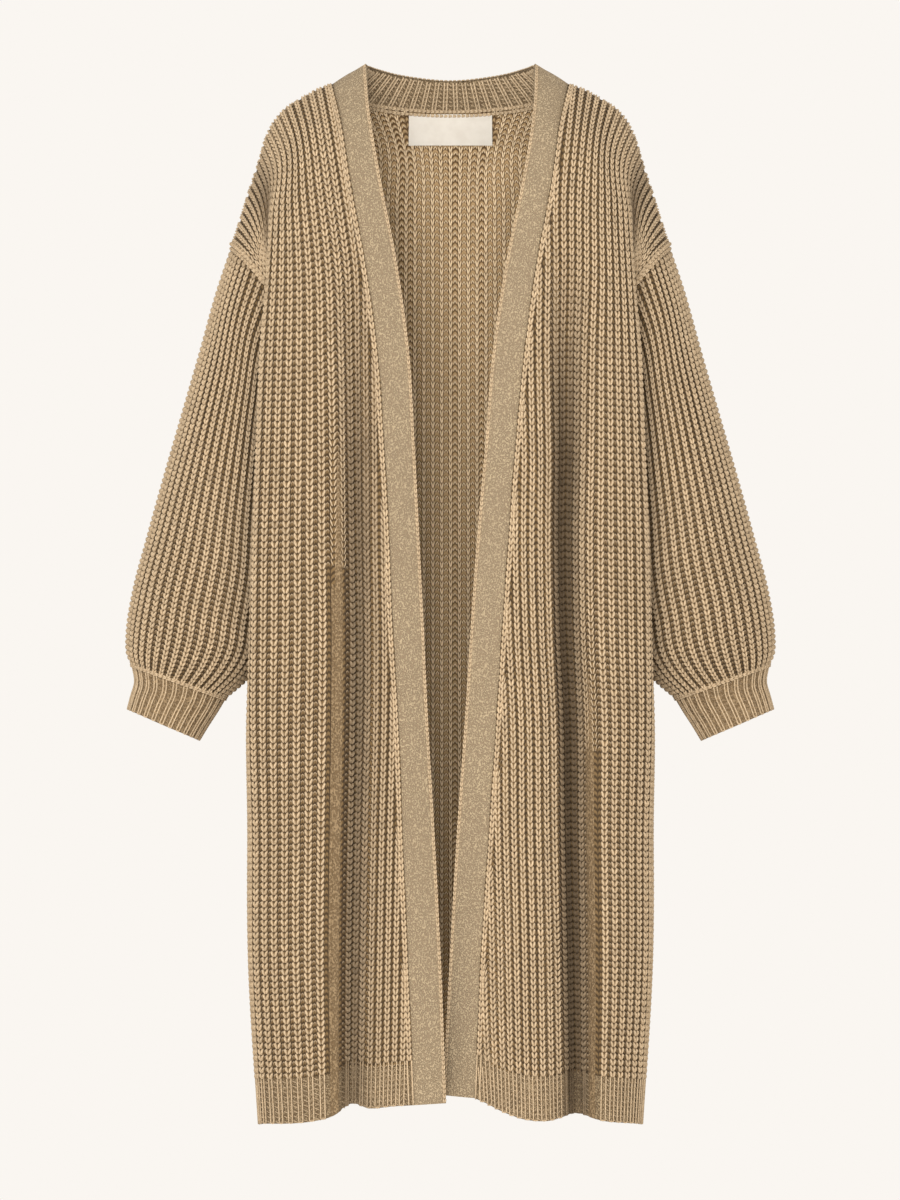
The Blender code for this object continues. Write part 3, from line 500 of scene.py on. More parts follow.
def back_sections() -> np.ndarray:
    """Lays out the back from its right side edge to its left one.

    Returns:
        One section for each of PANEL_LEVELS, its points at half wales.
    """
    wales = (BACK_SIDE_WALES, BACK_SHOULDER_WALES, BACK_NECK_WALES)
    hem = named(HEM_COLUMNS, HEM_BACK)
    line, ends = through([(x, 0.0, z) for x, z in reversed(SHOULDER_LINE)])
    top = np.vstack([line, neck_half(NECK_SEAM)[1:]])
    corner = nearest_x(line, SHOULDER_CORNER_X, 0, ends[-1])
    halves = [spread(top, (0, corner, ends[-1], len(top) - 1), wales)]
    for body_row, back_row in zip(BODY_LEVELS, BACK_LEVELS):
        body, back = named(BODY_COLUMNS, body_row), named(BACK_COLUMNS, back_row)
        edge, level = row_levels(body, 1, hem)
        half_z = (back["middle_z"] + body["seam_z"]) / 2
        half = (back["half_x"], back["half_y"], level.get("flat", half_z))
        curve, at = through([
            edge, *shared_points(body, 1, level),
            (back["neck_x"], back["neck_y"], level["crest"]), half,
            (0.0, back["middle_y"], level.get("seam", back["middle_z"])),
            (-half[0], half[1], half[2])])
        halves.append(spread(curve[:at[5] + 1], (0, at[2], at[3], at[5]), wales))

    rows = []
    for index, half in enumerate(halves):
        row = np.vstack([half * (-1, 1, 1), half[-2::-1]])
        low_share = np.clip((PANEL_LEVELS[index] - BACK_FOLDS_FROM)
                            / (PANEL_LEVELS[-1] - BACK_FOLDS_FROM), 0.0, 1.0)
        for x, width, chest, low in BACK_FOLDS:
            depth = (chest + (low - chest) * low_share) * (PANEL_LEVELS[index] > BACK_FOLDS_FROM)
            trough = np.exp(-((row[:, 0] - x) / width)**2) * (row[:, 1] > BACK_FOLDS_BEHIND)
            row[:, 1] -= depth * trough
            row[:, 2] += hem["fold_lift"] * trough * (index == len(halves) - 1)
        rows.append(row)
    return np.array(rows)


def front_surface(side: Side, at: np.ndarray, strip: int, strip_pitch: float) -> Surface:
    """A front, as on the wearer's left.

    Args:
        side: Which front.
        at: The levels of its rows.
        strip: Half steps between the long fold and the band seam.
        strip_pitch: Width of a wale there.

    Returns:
        The front's outer face.
    """
    rows, fold = front_sections(side, strip)
    points, normals = hung(rows, rows[1] * OVER_SHOULDER, at)
    below_arm = at >= ARMPIT_LEVEL
    points[below_arm, :, 1] = np.minimum(points[below_arm, :, 1], 0.0)
    normals[:, 0] = side_edge_normals(points[:, 0], at, -1)
    normals[0] = square_to(normals[0] * IN_SEAM_PLANE, np.gradient(points[0], axis=0))
    wale = np.tile(np.arange(points.shape[1]) / 2, (len(at), 1))
    past_fold = arc_length(points[:, fold:].transpose(1, 0, 2)).T
    wale[:, fold:] = fold / 2 + past_fold / strip_pitch
    return Surface(points, normals, wale)


def back_surface(at: np.ndarray) -> Surface:
    """The back panel at the given levels."""
    rows = back_sections()
    from_neck = 2 * rows[0] - rows[1]
    reach = np.abs(rows[0][:, 0])
    share = np.clip((NECK_SEAM[0][0] - reach) / NECK_TURN, 0.0, 1.0)[:, None]
    lead = rows[1] * OVER_SHOULDER * (1 - share) + from_neck * share
    points, normals = hung(rows, lead, at)
    below_arm = at >= ARMPIT_LEVEL
    points[below_arm, :, 1] = np.maximum(points[below_arm, :, 1], 0.0)
    normals[:, -1] = side_edge_normals(points[:, -1], at, 1)
    normals[:, 0] = normals[:, -1] * (-1, 1, 1)
    flat = square_to(normals[0] * IN_SEAM_PLANE, np.gradient(points[0], axis=0))
    normals[0] = np.where(share == 0.0, flat, normals[0])
    return Surface(points, normals, np.tile(np.arange(points.shape[1]) / 2, (len(at), 1)))


def band_surface(side: Side, at: np.ndarray, columns: int, crown: float) -> Surface:
    """A front band, as on the wearer's left.

    Args:
        side: Which band.
        at: The levels of its rows.
        columns: From its seam to its free edge.
        crown: How far its middle stands out (mm).

    Returns:
        The band's outer face.
    """
    seam = front_sections(side, 1)[0][:, -1]
    gaps = [named(OPENING_COLUMNS, row) for row in OPENING[side]]
    free = np.array([NECK_FREE[0]] + [(g["free_x"], -g["free_y"], g["free_z"]) for g in gaps])
    share = np.linspace(0.0, 1.0, columns)[:, None]
    rows = np.array([a * (1 - share) + b * share for a, b in zip(seam, free)])
    points, normals = hung(rows, rows[1] * OVER_SHOULDER, at)
    points = points + normals * crown * np.sin(math.pi * share)[None]
    points[0, :, 1] = 0.0
    normals[0] = square_to(normals[0] * IN_SEAM_PLANE, np.gradient(points[0], axis=0))
    return Surface(points, normals, np.tile(share[:, 0], (len(at), 1)))


def neck_surface(rows: int, per_rib: int) -> Surface:
    """The neck rib from its free edge down to its seam, right shoulder to left.

    Args:
        rows: Between the two edges.
        per_rib: Columns to a rib.

    Returns:
        The rib's outer face.
    """
    edges = []
    for table in (NECK_FREE, NECK_SEAM):
        half = neck_half(table)
        length = arc_length(half)
        at = np.linspace(0.0, length[-1], NECK_RIBS // 2 * per_rib + 1)
        half = resampled(at, length, half)
        edges.append(np.vstack([half * (-1, 1, 1), half[-2::-1]]))
    share = np.linspace(0.0, 1.0, rows)[:, None, None]
    points = edges[0][None] * (1 - share) + edges[1][None] * share
    down = np.tile(edges[1] - edges[0], (rows, 1, 1))
    normals = unit(np.cross(np.gradient(points, axis=1), down))
    for end in (0, -1):
        normals[:, end] = square_to(normals[:, end] * IN_SEAM_PLANE, down[:, end])
    return Surface(points, normals, np.tile(np.arange(points.shape[1]) / per_rib, (rows, 1)))


def ring(level: tuple, turn: np.ndarray) -> np.ndarray:
    """Points round one ring of the arm: outermost, front, innermost, back."""
    outer_x, outer_z, inner_x, inner_z, half_depth = level
    middle = np.array([outer_x + inner_x, 0.0, outer_z + inner_z]) / 2
    reach = np.array([outer_x - inner_x, 0.0, outer_z - inner_z]) / 2
    return (middle + np.cos(turn)[:, None] * reach
            - np.sin(turn)[:, None] * np.array([0.0, half_depth, 0.0]))


def arm_surface(levels: tuple, turns: list, step: float,
                top: tuple[np.ndarray, np.ndarray] | None = None) -> Surface:
    """A sleeve or a cuff, with rows about step millimetres apart.

    Args:
        levels: The rings of its table.
        turns: For each ring, the angle of each column round it.
        step: Distance between rows.
        top: The seam that the first ring lies on, as points and normals.

    Returns:
        The outer face, its columns at half wales round the arm.
    """
    rows = np.array([ring(level, turn) for level, turn in zip(levels, turns)])
    if top is not None:
        rows[1] += (top[0] - rows[0]) * SEAM_SHAPE_KEPT
        rows[0] = top[0]
    knots = arc_length(np.array([row.mean(axis=0) for row in rows]))
    at = np.linspace(0.0, knots[-1], int(knots[-1] / step) + 1)
    points = smooth(knots, rows, at)
    across = np.roll(points, -1, axis=1) - np.roll(points, 1, axis=1)
    normals = unit(np.cross(across, slope(knots, rows, at, knots[0])))
    if top is not None:
        normals[0] = top[1]
    wale = np.tile(np.arange(points.shape[1]) / 2, (len(points), 1))
    return Surface(points, normals, wale, closed=True)


def sleeve_top() -> tuple[np.ndarray, np.ndarray, np.ndarray]:
    """The armhole seam at the sleeve's half wales: points, normals and turn round the arm."""
    at = np.array(ARMHOLE_LEVELS)
    edge = front_surface(Side.LEFT, at, 1, 1.0).points[:, 0]
    share = armhole_shares(at)
    steps = np.linspace(0.0, len(at) - 1, SLEEVE_WALES + 1)
    spans = np.arange(len(at))
    front, facing = (resampled(steps, spans, values)
                     for values in (edge, armhole_normals(share)))
    half_turn = np.interp(steps, spans, share) * math.pi
    top = np.vstack([front, front[-2:0:-1] * OVER_SHOULDER])
    top_normals = unit(np.vstack([facing, facing[-2:0:-1] * OVER_SHOULDER]))
    return top, top_normals, np.concatenate([half_turn, 2 * math.pi - half_turn[-2:0:-1]])


# ------------------------------------------------------------------ stitches
@dataclass(frozen=True)
class Loop:
    """The path that a bit of yarn takes on the cloth.

    Attributes:
        stations: Rows of across (share of the reach), up (courses), lift and radius (mm).
            Both ends have no radius: they are tucked into the cloth.
    """

    stations: tuple[tuple[float, float, float, float], ...]


# A leg of a knit V, from where it comes out of the stitch below to where it goes under the next.
PLUMP_LEG = Loop((
    (0.18, -0.18, -1.0, 0.0), (0.36, 0.10, 0.8, 1.10), (0.72, 0.48, 1.4, 1.45),
    (1.00, 0.86, 0.8, 1.20), (0.96, 1.18, -1.0, 0.0)))
PLAIN_LEG = Loop((
    (0.18, -0.20, -1.0, 0.0), (0.46, 0.22, 1.0, 1.30), (0.95, 0.78, 0.9, 1.30),
    (0.94, 1.20, -1.0, 0.0)))
# A leg of the ribbed hem, cuffs and neck: nearly upright, so that two make a double strand.
RIB_LEG = Loop((
    (0.92, -0.60, -0.2, 0.0), (0.95, -0.10, 1.0, 0.95), (1.06, 0.90, 1.1, 0.95),
    (1.02, 1.40, -0.2, 0.0)))
# A stitch of the fine mesh between the ribs' strands, a short slanting tick.
RIB_TICK = Loop((
    (-1.00, -0.10, -0.8, 0.0), (-0.45, 0.20, 0.1, 0.80), (0.45, 0.45, 0.1, 0.80),
    (1.00, 0.75, -0.8, 0.0)))
# The loop that turns a double strand round the hem's edge.
HEM_TURN = Loop((
    (1.00, 0.50, 0.6, 0.0), (0.86, 0.16, 1.0, 0.95), (0.0, 0.06, 1.0, 0.95),
    (-0.86, 0.16, 1.0, 0.95), (-1.00, 0.50, 0.6, 0.0)))
# The bump of a purl stitch, an arch across the valley between two wales.
PURL_ARCH = Loop((
    (-1.00, -0.38, -1.4, 0.0), (-0.72, 0.15, -0.5, 0.70), (0.0, 0.30, -0.3, 0.80),
    (0.72, 0.15, -0.5, 0.70), (1.00, -0.38, -1.4, 0.0)))
# The same seen on the inside of the cloth, where it is wide and full.
INSIDE_ARCH = Loop((
    (-0.92, -0.34, -0.8, 0.0), (-0.80, 0.12, 0.5, 0.62), (0.0, 0.46, 0.8, 0.70),
    (0.80, 0.12, 0.5, 0.62), (0.92, -0.34, -0.8, 0.0)))
INSIDE_LEG = Loop((
    (0.10, -0.24, -0.6, 0.0), (0.40, 0.16, 0.8, 0.85), (1.10, 0.72, 0.8, 0.85),
    (1.00, 1.14, -0.6, 0.0)))


@dataclass
class Courses:
    """Where stitches may lie on a surface: a row a course from the hem up.

    Attributes:
        points: (courses, columns, 3), the columns at half wales.
        normals: Facing the side that the stitches are on.
        count: How many courses fit in each column.
        open_share: Below 0 where a column has run into a seam, one value a grid point.
        shade: Painted shade at each point, from 0 to 1: how much darker the yarn is made down in a
            fold, a hollow or a crease.
        least_room: Courses that a stitch needs below the top edge.
    """

    points: np.ndarray
    normals: np.ndarray
    count: np.ndarray
    open_share: np.ndarray
    shade: np.ndarray
    least_room: float = 0.45

    @classmethod
    def on(cls, points: np.ndarray, normals: np.ndarray, heights: np.ndarray,
           open_share: np.ndarray | None = None,
           shade: np.ndarray | None = None) -> Courses:
        """Lays courses on columns of points.

        Args:
            points: (rows, columns, 3) from the top edge down.
            normals: The same, for the normals.
            heights: The length up a column at which each course begins.
            open_share: One value a point, carried over to the courses.
            shade: The same.

        Returns:
            The courses, on as many columns.
        """
        points, normals = points[::-1], normals[::-1]
        if open_share is None:
            open_share = np.ones(points.shape[:2])
        if shade is None:
            shade = np.zeros(points.shape[:2])
        values = np.concatenate([points, normals, open_share[::-1][..., None],
                                 shade[::-1][..., None]], axis=2)
        length = arc_length(points)
        laid = np.empty((len(heights), points.shape[1], values.shape[2]))
        for column in range(points.shape[1]):
            for k in range(values.shape[2]):
                laid[:, column, k] = np.interp(heights, length[:, column], values[:, column, k])
        count = np.interp(length[-1], heights, np.arange(len(heights)))
        return cls(laid[..., :3], unit(laid[..., 3:6]), count, laid[..., 6], laid[..., 7])

    def cells(self, first_column: int, every: int, first_course: int, last_course: int,
              closed: bool) -> tuple[np.ndarray, np.ndarray]:
        """Finds the stitches that have room.

        Args:
            first_column: The first column with stitches.
            every: Columns from one stitch to the next.
            first_course: The lowest course wanted.
            last_course: The course to stop before.
            closed: Whether the grid is a tube.

        Returns:
            Course and column of each stitch.
        """
        columns = np.arange(first_column, self.points.shape[1] - (0 if closed else 1), every)
        last = min(last_course, len(self.points) - 2)
        course, column = (item.ravel() for item in
                          np.meshgrid(np.arange(first_course, last), columns, indexing="ij"))
        room = ((course + self.least_room < self.count[column])
                & (self.open_share[course, column] > 0.0))
        return course[room], column[room]

    def half_pitch(self, course: np.ndarray, column: np.ndarray) -> np.ndarray:
        """Distance between neighbouring half wales at the given stitches."""
        last = self.points.shape[1]
        before, after = self.points[course, column - 1], self.points[course, (column + 1) % last]
        return np.linalg.norm(after - before, axis=-1) / 2

    def read(self, course: np.ndarray, column: np.ndarray) -> tuple[np.ndarray, np.ndarray]:
        """Reads the grid between its courses.

        Args:
            course: Any number of courses, fractions too.
            column: The column of each.

        Returns:
            Points and normals there.
        """
        below = np.clip(np.floor(course).astype(int), 0, len(self.points) - 2)
        share = (course - below)[..., None]
        points = self.points[below, column] * (1 - share) + self.points[below + 1, column] * share
        near = np.clip(share, 0.0, 1.0)
        normals = self.normals[below, column] * (1 - near) + self.normals[below + 1, column] * near
        return points, unit(normals)


class Yarn:
    """Bits of yarn gathered into one mesh, each a low ridge with rounded shading.

    Attributes:
        painted_shade_drop: How far painted shade lowers a stitch's tone down in a fold, in usual
            spreads of the tone.
        overrun: Courses that a loop may reach past the top edge.
        foot: How far below its middle line a ridge's sides end, in radii.
        flank: Painted shade on a ridge's sides, on a scale where its ends are 1 and its top is 0.
    """

    painted_shade_drop: float = 6.0
    overrun: float = 0.1
    foot: float = 0.45
    flank: float = 0.75

    def __init__(self, seed: int) -> None:
        """Starts with no yarn; seed settles how the tone of the stitches varies."""
        self.random = np.random.default_rng(seed)
        self.points: list[np.ndarray] = []
        self.faces: dict[int, list[np.ndarray]] = {3: [], 4: []}
        self.tone: list[np.ndarray] = []
        self.root: list[np.ndarray] = []
        self.total = 0

    def lay(self, courses: Courses, loop: Loop, where: tuple[np.ndarray, np.ndarray],
            reach: np.ndarray | float, swell: np.ndarray | float = 1.0,
            sides: tuple[int, ...] = (1,), up: np.ndarray | float = 0.0,
            gap_shade: float = 0.0) -> None:
        """Lays a loop at each of many stitches.

        Args:
            courses: The grid they lie on.
            loop: The path of each.
            where: Course and column of each stitch.
            reach: Millimetres that stand for 1 across.
            swell: What lift and radius are multiplied by.
            sides: 1 for the loop as given, -1 for its mirror image.
            up: Courses that the loop is moved up.
            gap_shade: Painted shade, from 0 to 1, for lying down between the stitches; darkens it.
        """
        course, column = where
        if not len(course):
            return
        stations = np.array(loop.stations)
        reach = np.broadcast_to(np.asarray(reach, float), course.shape)[:, None]
        swell = np.broadcast_to(np.asarray(swell, float), course.shape)[:, None]
        up = np.broadcast_to(np.asarray(up, float), course.shape)[:, None]
        heights = np.clip(course[:, None] + stations[None, :, 1] + up, 0.0,
                          courses.count[column][:, None] + self.overrun)
        base, normals = courses.read(heights, column[:, None])
        rise, _ = courses.read(course[:, None] + np.array([[0.0, 1.0]]), column[:, None])
        along = unit(rise[:, 1] - rise[:, 0])[:, None]
        across = unit(np.cross(along, normals))
        # Painted shade: stitches down in a fold, hollow or crease get a lower tone and more of the
        # deep colour.
        tone = (self.random.normal(0.0, 1.0, len(course))
                - self.painted_shade_drop * courses.shade[course, column])
        depth = np.maximum(courses.shade[course, column], gap_shade)
        for side in sides:
            centres = (base + across * (side * reach * stations[None, :, 0])[..., None]
                       + normals * (swell * stations[None, :, 2])[..., None])
            self.ridges(centres, normals, swell * stations[None, :, 3], tone, depth)

    def ridges(self, centres: np.ndarray, normals: np.ndarray, radii: np.ndarray,
               tone: np.ndarray, depth: np.ndarray) -> None:
        """Adds ridges with three points a station and a point at both ends.

        Args:
            centres: (ridges, stations, 3), the middle lines.
            normals: The same, the way up.
            radii: (ridges, stations).
            tone: One value a ridge.
            depth: The same; the painted shade of the whole ridge, from 0 to 1.
        """
        count, stations = centres.shape[:2]
        along = np.gradient(centres, axis=1)
        sideways = unit(np.cross(along, normals)) * radii[..., None]
        out = normals * radii[..., None]
        rings = np.stack([centres + sideways - out * self.foot, centres + out,
                          centres - sideways - out * self.foot], axis=2)[:, 1:-1]
        middle = stations - 2
        block = np.concatenate([centres[:, :1], rings.reshape(count, middle * 3, 3),
                                centres[:, -1:]], axis=1)
        per = middle * 3 + 2
        last = per - 1
        quads = [[a, a + 3, a + 4, a + 1] for r in range(middle - 1)
                 for a in (1 + 3 * r, 2 + 3 * r)]
        end = 1 + 3 * (middle - 1)
        triangles = [[0, 1, 2], [0, 2, 3], [end, last, end + 1], [end + 1, last, end + 2]]
        start = (self.total + np.arange(count) * per)[:, None, None]
        self.faces[4].append((start + np.array(quads, int).reshape(1, -1, 4)).reshape(-1, 4))
        self.faces[3].append((start + np.array(triangles)[None]).reshape(-1, 3))
        self.points.append(block.reshape(-1, 3))
        self.tone.append(np.repeat(tone, per))
        # Painted shade along each ridge: full at its tucked-in ends, the flank value on its sides,
        # none on its top; the stitch's own painted shade is added.
        ridge_shade = np.array([1.0] + [self.flank, 0.0, self.flank] * middle + [1.0])
        self.root.append((depth[:, None] + (1.0 - depth[:, None]) * ridge_shade[None]).ravel())
        self.total += count * per

    def made(self, name: str, finish: bpy.types.Material) -> bpy.types.Object:
        """The mesh of all the yarn so far."""
        faces = [np.concatenate(self.faces[size]) for size in (3, 4) if self.faces[size]]
        item = mesh_object(name, np.concatenate(self.points), faces, [finish])
        # root carries the painted shade; tone the random tone of each stitch, lowered by painted
        # shade.
        for label, values in (("tone", self.tone), ("root", self.root)):
            layer = item.data.attributes.new(label, "FLOAT", "POINT")
            layer.data.foreach_set("value", np.concatenate(values).astype(np.float32))
        return item


def mesh_object(name: str, points: np.ndarray, faces: list[np.ndarray],
                finishes: list[bpy.types.Material]) -> bpy.types.Object:
    """A smooth-shaded object from points in millimetres.

    Args:
        name: Its name.
        points: (count, 3).
        faces: Arrays of faces, each array with one number of corners.
        finishes: Its materials in the order of its slots.

    Returns:
        The object, linked to the scene.
    """
    mesh = bpy.data.meshes.new(name)
    mesh.vertices.add(len(points))
    mesh.vertices.foreach_set("co", (np.asarray(points) * MM).astype(np.float32).ravel())
    sizes = np.concatenate([np.full(len(group), group.shape[1]) for group in faces])
    corners = np.concatenate([group.ravel() for group in faces])
    mesh.loops.add(len(corners))
    mesh.loops.foreach_set("vertex_index", corners.astype(np.int32))
    mesh.polygons.add(len(sizes))
    starts = np.concatenate([[0], np.cumsum(sizes)[:-1]])
    mesh.polygons.foreach_set("loop_start", starts.astype(np.int32))
    mesh.polygons.foreach_set("loop_total", sizes.astype(np.int32))
    mesh.update(calc_edges=True)
    mesh.shade_smooth()
    for finish in finishes:
        mesh.materials.append(finish)
    item = bpy.data.objects.new(name, mesh)
    bpy.context.scene.collection.objects.link(item)
    return item


def cloth_wall(name: str, surface: Surface, raised: np.ndarray,
               thickness: np.ndarray | float, courses: np.ndarray,
               finishes: list[bpy.types.Material],
               rib_courses: float = 0.0) -> bpy.types.Object:
    """A closed wall of cloth with an outer and an inner face.

    Args:
        name: Its name.
        surface: The face that the sizes are measured from.
        raised: How far the outer face stands out at each point.
        thickness: From the surface to the inner face, at each point or everywhere.
        courses: Courses up from the hem at each point; with the wales they are its UVs.
        finishes: Materials of the outer face, the inner one and the ribbed hem.
        rib_courses: How many courses of the hem are ribbed.

    Returns:
        The wall.
    """
    rows, columns = surface.points.shape[:2]
    thickness = np.broadcast_to(thickness, (rows, columns))
    outer = surface.points + surface.normals * raised[..., None]
    inner = surface.points - surface.normals * thickness[..., None]
    spans = columns if surface.closed else columns - 1
    row, col = (item.ravel() for item in
                np.meshgrid(np.arange(rows - 1), np.arange(spans), indexing="ij"))
    a, b = row * columns + col, row * columns + (col + 1) % columns
    below = columns
    base = rows * columns
    outside = np.stack([a, a + below, b + below, b], axis=1)
    inside = np.stack([a, b, b + below, a + below], axis=1) + base
    rims = []
    edge = np.arange(spans)
    nxt = (edge + 1) % columns
    rims.append(np.stack([edge, nxt, nxt + base, edge + base], axis=1))
    low = (rows - 1) * columns
    rims.append(np.stack([nxt + low, edge + low, edge + low + base, nxt + low + base], axis=1))
    if not surface.closed:
        down = np.arange(rows - 1) * columns
        rims.append(np.stack([down + below, down, down + base, down + below + base], axis=1))
        far = down + columns - 1
        rims.append(np.stack([far, far + below, far + below + base, far + base], axis=1))
    faces = np.concatenate([outside, inside] + rims)
    points = np.concatenate([outer.reshape(-1, 3), inner.reshape(-1, 3)])
    volume = np.sum(np.einsum("ij,ij->i", points[faces[:, 0]],
                              np.cross(points[faces[:, 1]], points[faces[:, 2]]))
                    + np.einsum("ij,ij->i", points[faces[:, 0]],
                                np.cross(points[faces[:, 2]], points[faces[:, 3]])))
    if volume < 0.0:
        faces = faces[:, ::-1]
    item = mesh_object(name, points, [faces], finishes)
    slots = np.zeros(len(faces), np.int32)
    slots[len(outside):len(outside) + len(inside)] = 1
    ribbed = courses.ravel()[np.concatenate([b, b])] < rib_courses
    slots[:len(ribbed)][ribbed] = 2
    item.data.polygons.foreach_set("material_index", slots)
    pattern = np.stack([surface.wale, courses], axis=-1).reshape(-1, 2)
    uv = item.data.uv_layers.new(name="wales_and_courses")
    uv.data.foreach_set("uv", np.tile(pattern, (2, 1))[faces.ravel()].astype(np.float32).ravel())
    item.data.set_sharp_from_angle(angle=SHARP_FROM)
    return item


# ------------------------------------------------------------------ finishes
def linear(code: str) -> tuple[float, float, float, float]:
    """An sRGB hex colour as linear red, green, blue and an alpha of 1."""
    parts = [int(code[k:k + 2], 16) / 255 for k in (1, 3, 5)]
    turned = [p / 12.92 if p <= 0.04045 else ((p + 0.055) / 1.055)**2.4 for p in parts]
    return (*turned, 1.0)


def add_node(tree: bpy.types.NodeTree, kind: str, inputs: dict | None = None,
             **settings: object) -> bpy.types.Node:
    """Adds a node with its settings and links.

    Args:
        tree: The material's node tree.
        kind: The node's type.
        inputs: For each input, by name or number, its value or the output that feeds it.
        settings: The node's own properties.

    Returns:
        The node.
    """
    node = tree.nodes.new(kind)
    for key, value in settings.items():
        setattr(node, key, value)
    for key, value in (inputs or {}).items():
        if isinstance(value, bpy.types.NodeSocket):
            tree.links.new(value, node.inputs[key])
        else:
            node.inputs[key].default_value = value
    return node


class Sums:
    """Short names for the sums that patterns are worked out with."""

    def __init__(self, tree: bpy.types.NodeTree) -> None:
        """Adds its nodes to the given tree."""
        self.tree = tree

    def of(self, operation: str, *values: object) -> bpy.types.NodeSocket:
        """The output of one Math node over up to three values or sockets."""
        node = add_node(self.tree, "ShaderNodeMath", dict(enumerate(values)), operation=operation)
        return node.outputs[0]

    def mix(self, share: object, low: object, high: object) -> bpy.types.NodeSocket:
        """A colour between two others."""
        node = add_node(self.tree, "ShaderNodeMix", {0: share, 6: low, 7: high}, data_type="RGBA")
        return node.outputs[2]

    def noise(self, vector: bpy.types.NodeSocket, size_mm: float,
              detail: float) -> bpy.types.NodeSocket:
        """Noise with features about size_mm wide, read at a vector in millimetres."""
        node = add_node(self.tree, "ShaderNodeTexNoise",
                        {"Vector": vector, "Scale": 1.0 / size_mm, "Detail": detail})
        return node.outputs[0]

    def stepped(self, value: object, low: float, high: float) -> bpy.types.NodeSocket:
        """Runs smoothly from 0 at low to 1 at high."""
        node = add_node(self.tree, "ShaderNodeMapRange",
                        {"Value": value, "From Min": low, "From Max": high},
                        interpolation_type="SMOOTHSTEP")
        return node.outputs[0]


@dataclass(frozen=True)
class Finish:
    """What every finish here has: its name, colours and how it takes light.

    Attributes:
        name: The real material.
        light: Colour where the yarn stands proud.
        deep: For yarn and knit ground, the painted shade colour between the stitches and at their
            roots; for the rest, their darker flecks, threads or patches.
        roughness: Of the surface, from 0 to 1.
        sheen: How much soft light the fibres scatter at grazing angles.
        middle: The darker flecks or patches of the light parts, where there are any.
        height_mm: How far the bump stands out.
    """

    name: str
    light: str
    deep: str
    roughness: float
    sheen: float
    middle: str = ""
    height_mm: float = 0.1

    def begin(self) -> tuple[bpy.types.Material, Sums, bpy.types.NodeSocket]:
        """A new material with its shader set, its sums and its place in millimetres."""
        made = bpy.data.materials.new(self.name)
        made.use_nodes = True
        tree = made.node_tree
        shader = tree.nodes["Principled BSDF"]
        shader.inputs["Roughness"].default_value = self.roughness
        shader.inputs["Metallic"].default_value = 0.0
        shader.inputs["Sheen Weight"].default_value = self.sheen
        shader.inputs["Sheen Roughness"].default_value = 0.5
        shader.inputs["Sheen Tint"].default_value = linear(self.light)
        place = add_node(tree, "ShaderNodeTexCoord").outputs["Object"]
        in_mm = add_node(tree, "ShaderNodeVectorMath", {0: place, "Scale": 1.0 / MM},
                         operation="SCALE")
        return made, Sums(tree), in_mm.outputs[0]

    def end(self, made: bpy.types.Material, colour: bpy.types.NodeSocket,
            height: bpy.types.NodeSocket) -> bpy.types.Material:
        """Joins a colour and a height from 0 to 1 to the shader."""
        tree = made.node_tree
        shader = tree.nodes["Principled BSDF"]
        tree.links.new(colour, shader.inputs["Base Color"])
        bump = add_node(tree, "ShaderNodeBump",
                        {"Height": height, "Distance": self.height_mm * MM, "Strength": 1.0})
        tree.links.new(bump.outputs[0], shader.inputs["Normal"])
        return made


@dataclass(frozen=True)
class MelangeYarn(Finish):
    """Carded wool-blend yarn, spun soft: its mixed fibres show as flecks, with no gloss.

    Attributes:
        fleck_mm: Length of a fleck of darker fibre.
        fibre_mm: Width of the fuzz that the bump shows.
        tone_share: How much whole stitches differ from each other.
        painted_shade_share: How much of the deep colour the painted shade mixes in at its fullest:
            at a stitch's root and down in folds.
        fleck_edges: The noise at which a fleck begins and is full.
    """

    height_mm: float = 0.12
    fleck_mm: float = 1.5
    fibre_mm: float = 0.4
    tone_share: float = 0.05
    painted_shade_share: float = 0.85
    fleck_edges: tuple[float, float] = (0.36, 0.66)

    def material(self) -> bpy.types.Material:
        """Yarn for the stitches, with painted shade from their root attribute: darker at their
        roots and sides and down in folds.
        """
        made, sums, place = self.begin()
        tree = made.node_tree
        fleck = sums.stepped(sums.noise(place, self.fleck_mm, 2.0), *self.fleck_edges)
        yarn = sums.mix(fleck, linear(self.light), linear(self.middle))
        # The root attribute is painted shade: it mixes in the deep colour.
        root = add_node(tree, "ShaderNodeAttribute", attribute_name="root").outputs["Fac"]
        yarn = sums.mix(sums.of("MULTIPLY", root, self.painted_shade_share), yarn, linear(self.deep))
        # The tone attribute holds each stitch's random tone, lowered by painted shade down in
        # folds.
        tone = add_node(tree, "ShaderNodeAttribute", attribute_name="tone").outputs["Fac"]
        value = sums.of("MULTIPLY_ADD", tone, self.tone_share, 1.0)
        varied = add_node(tree, "ShaderNodeHueSaturation",
                          {"Hue": 0.5, "Saturation": 1.0, "Value": value, "Fac": 1.0,
                           "Color": yarn}).outputs[0]
        return self.end(made, varied, sums.noise(place, self.fibre_mm, 1.0))


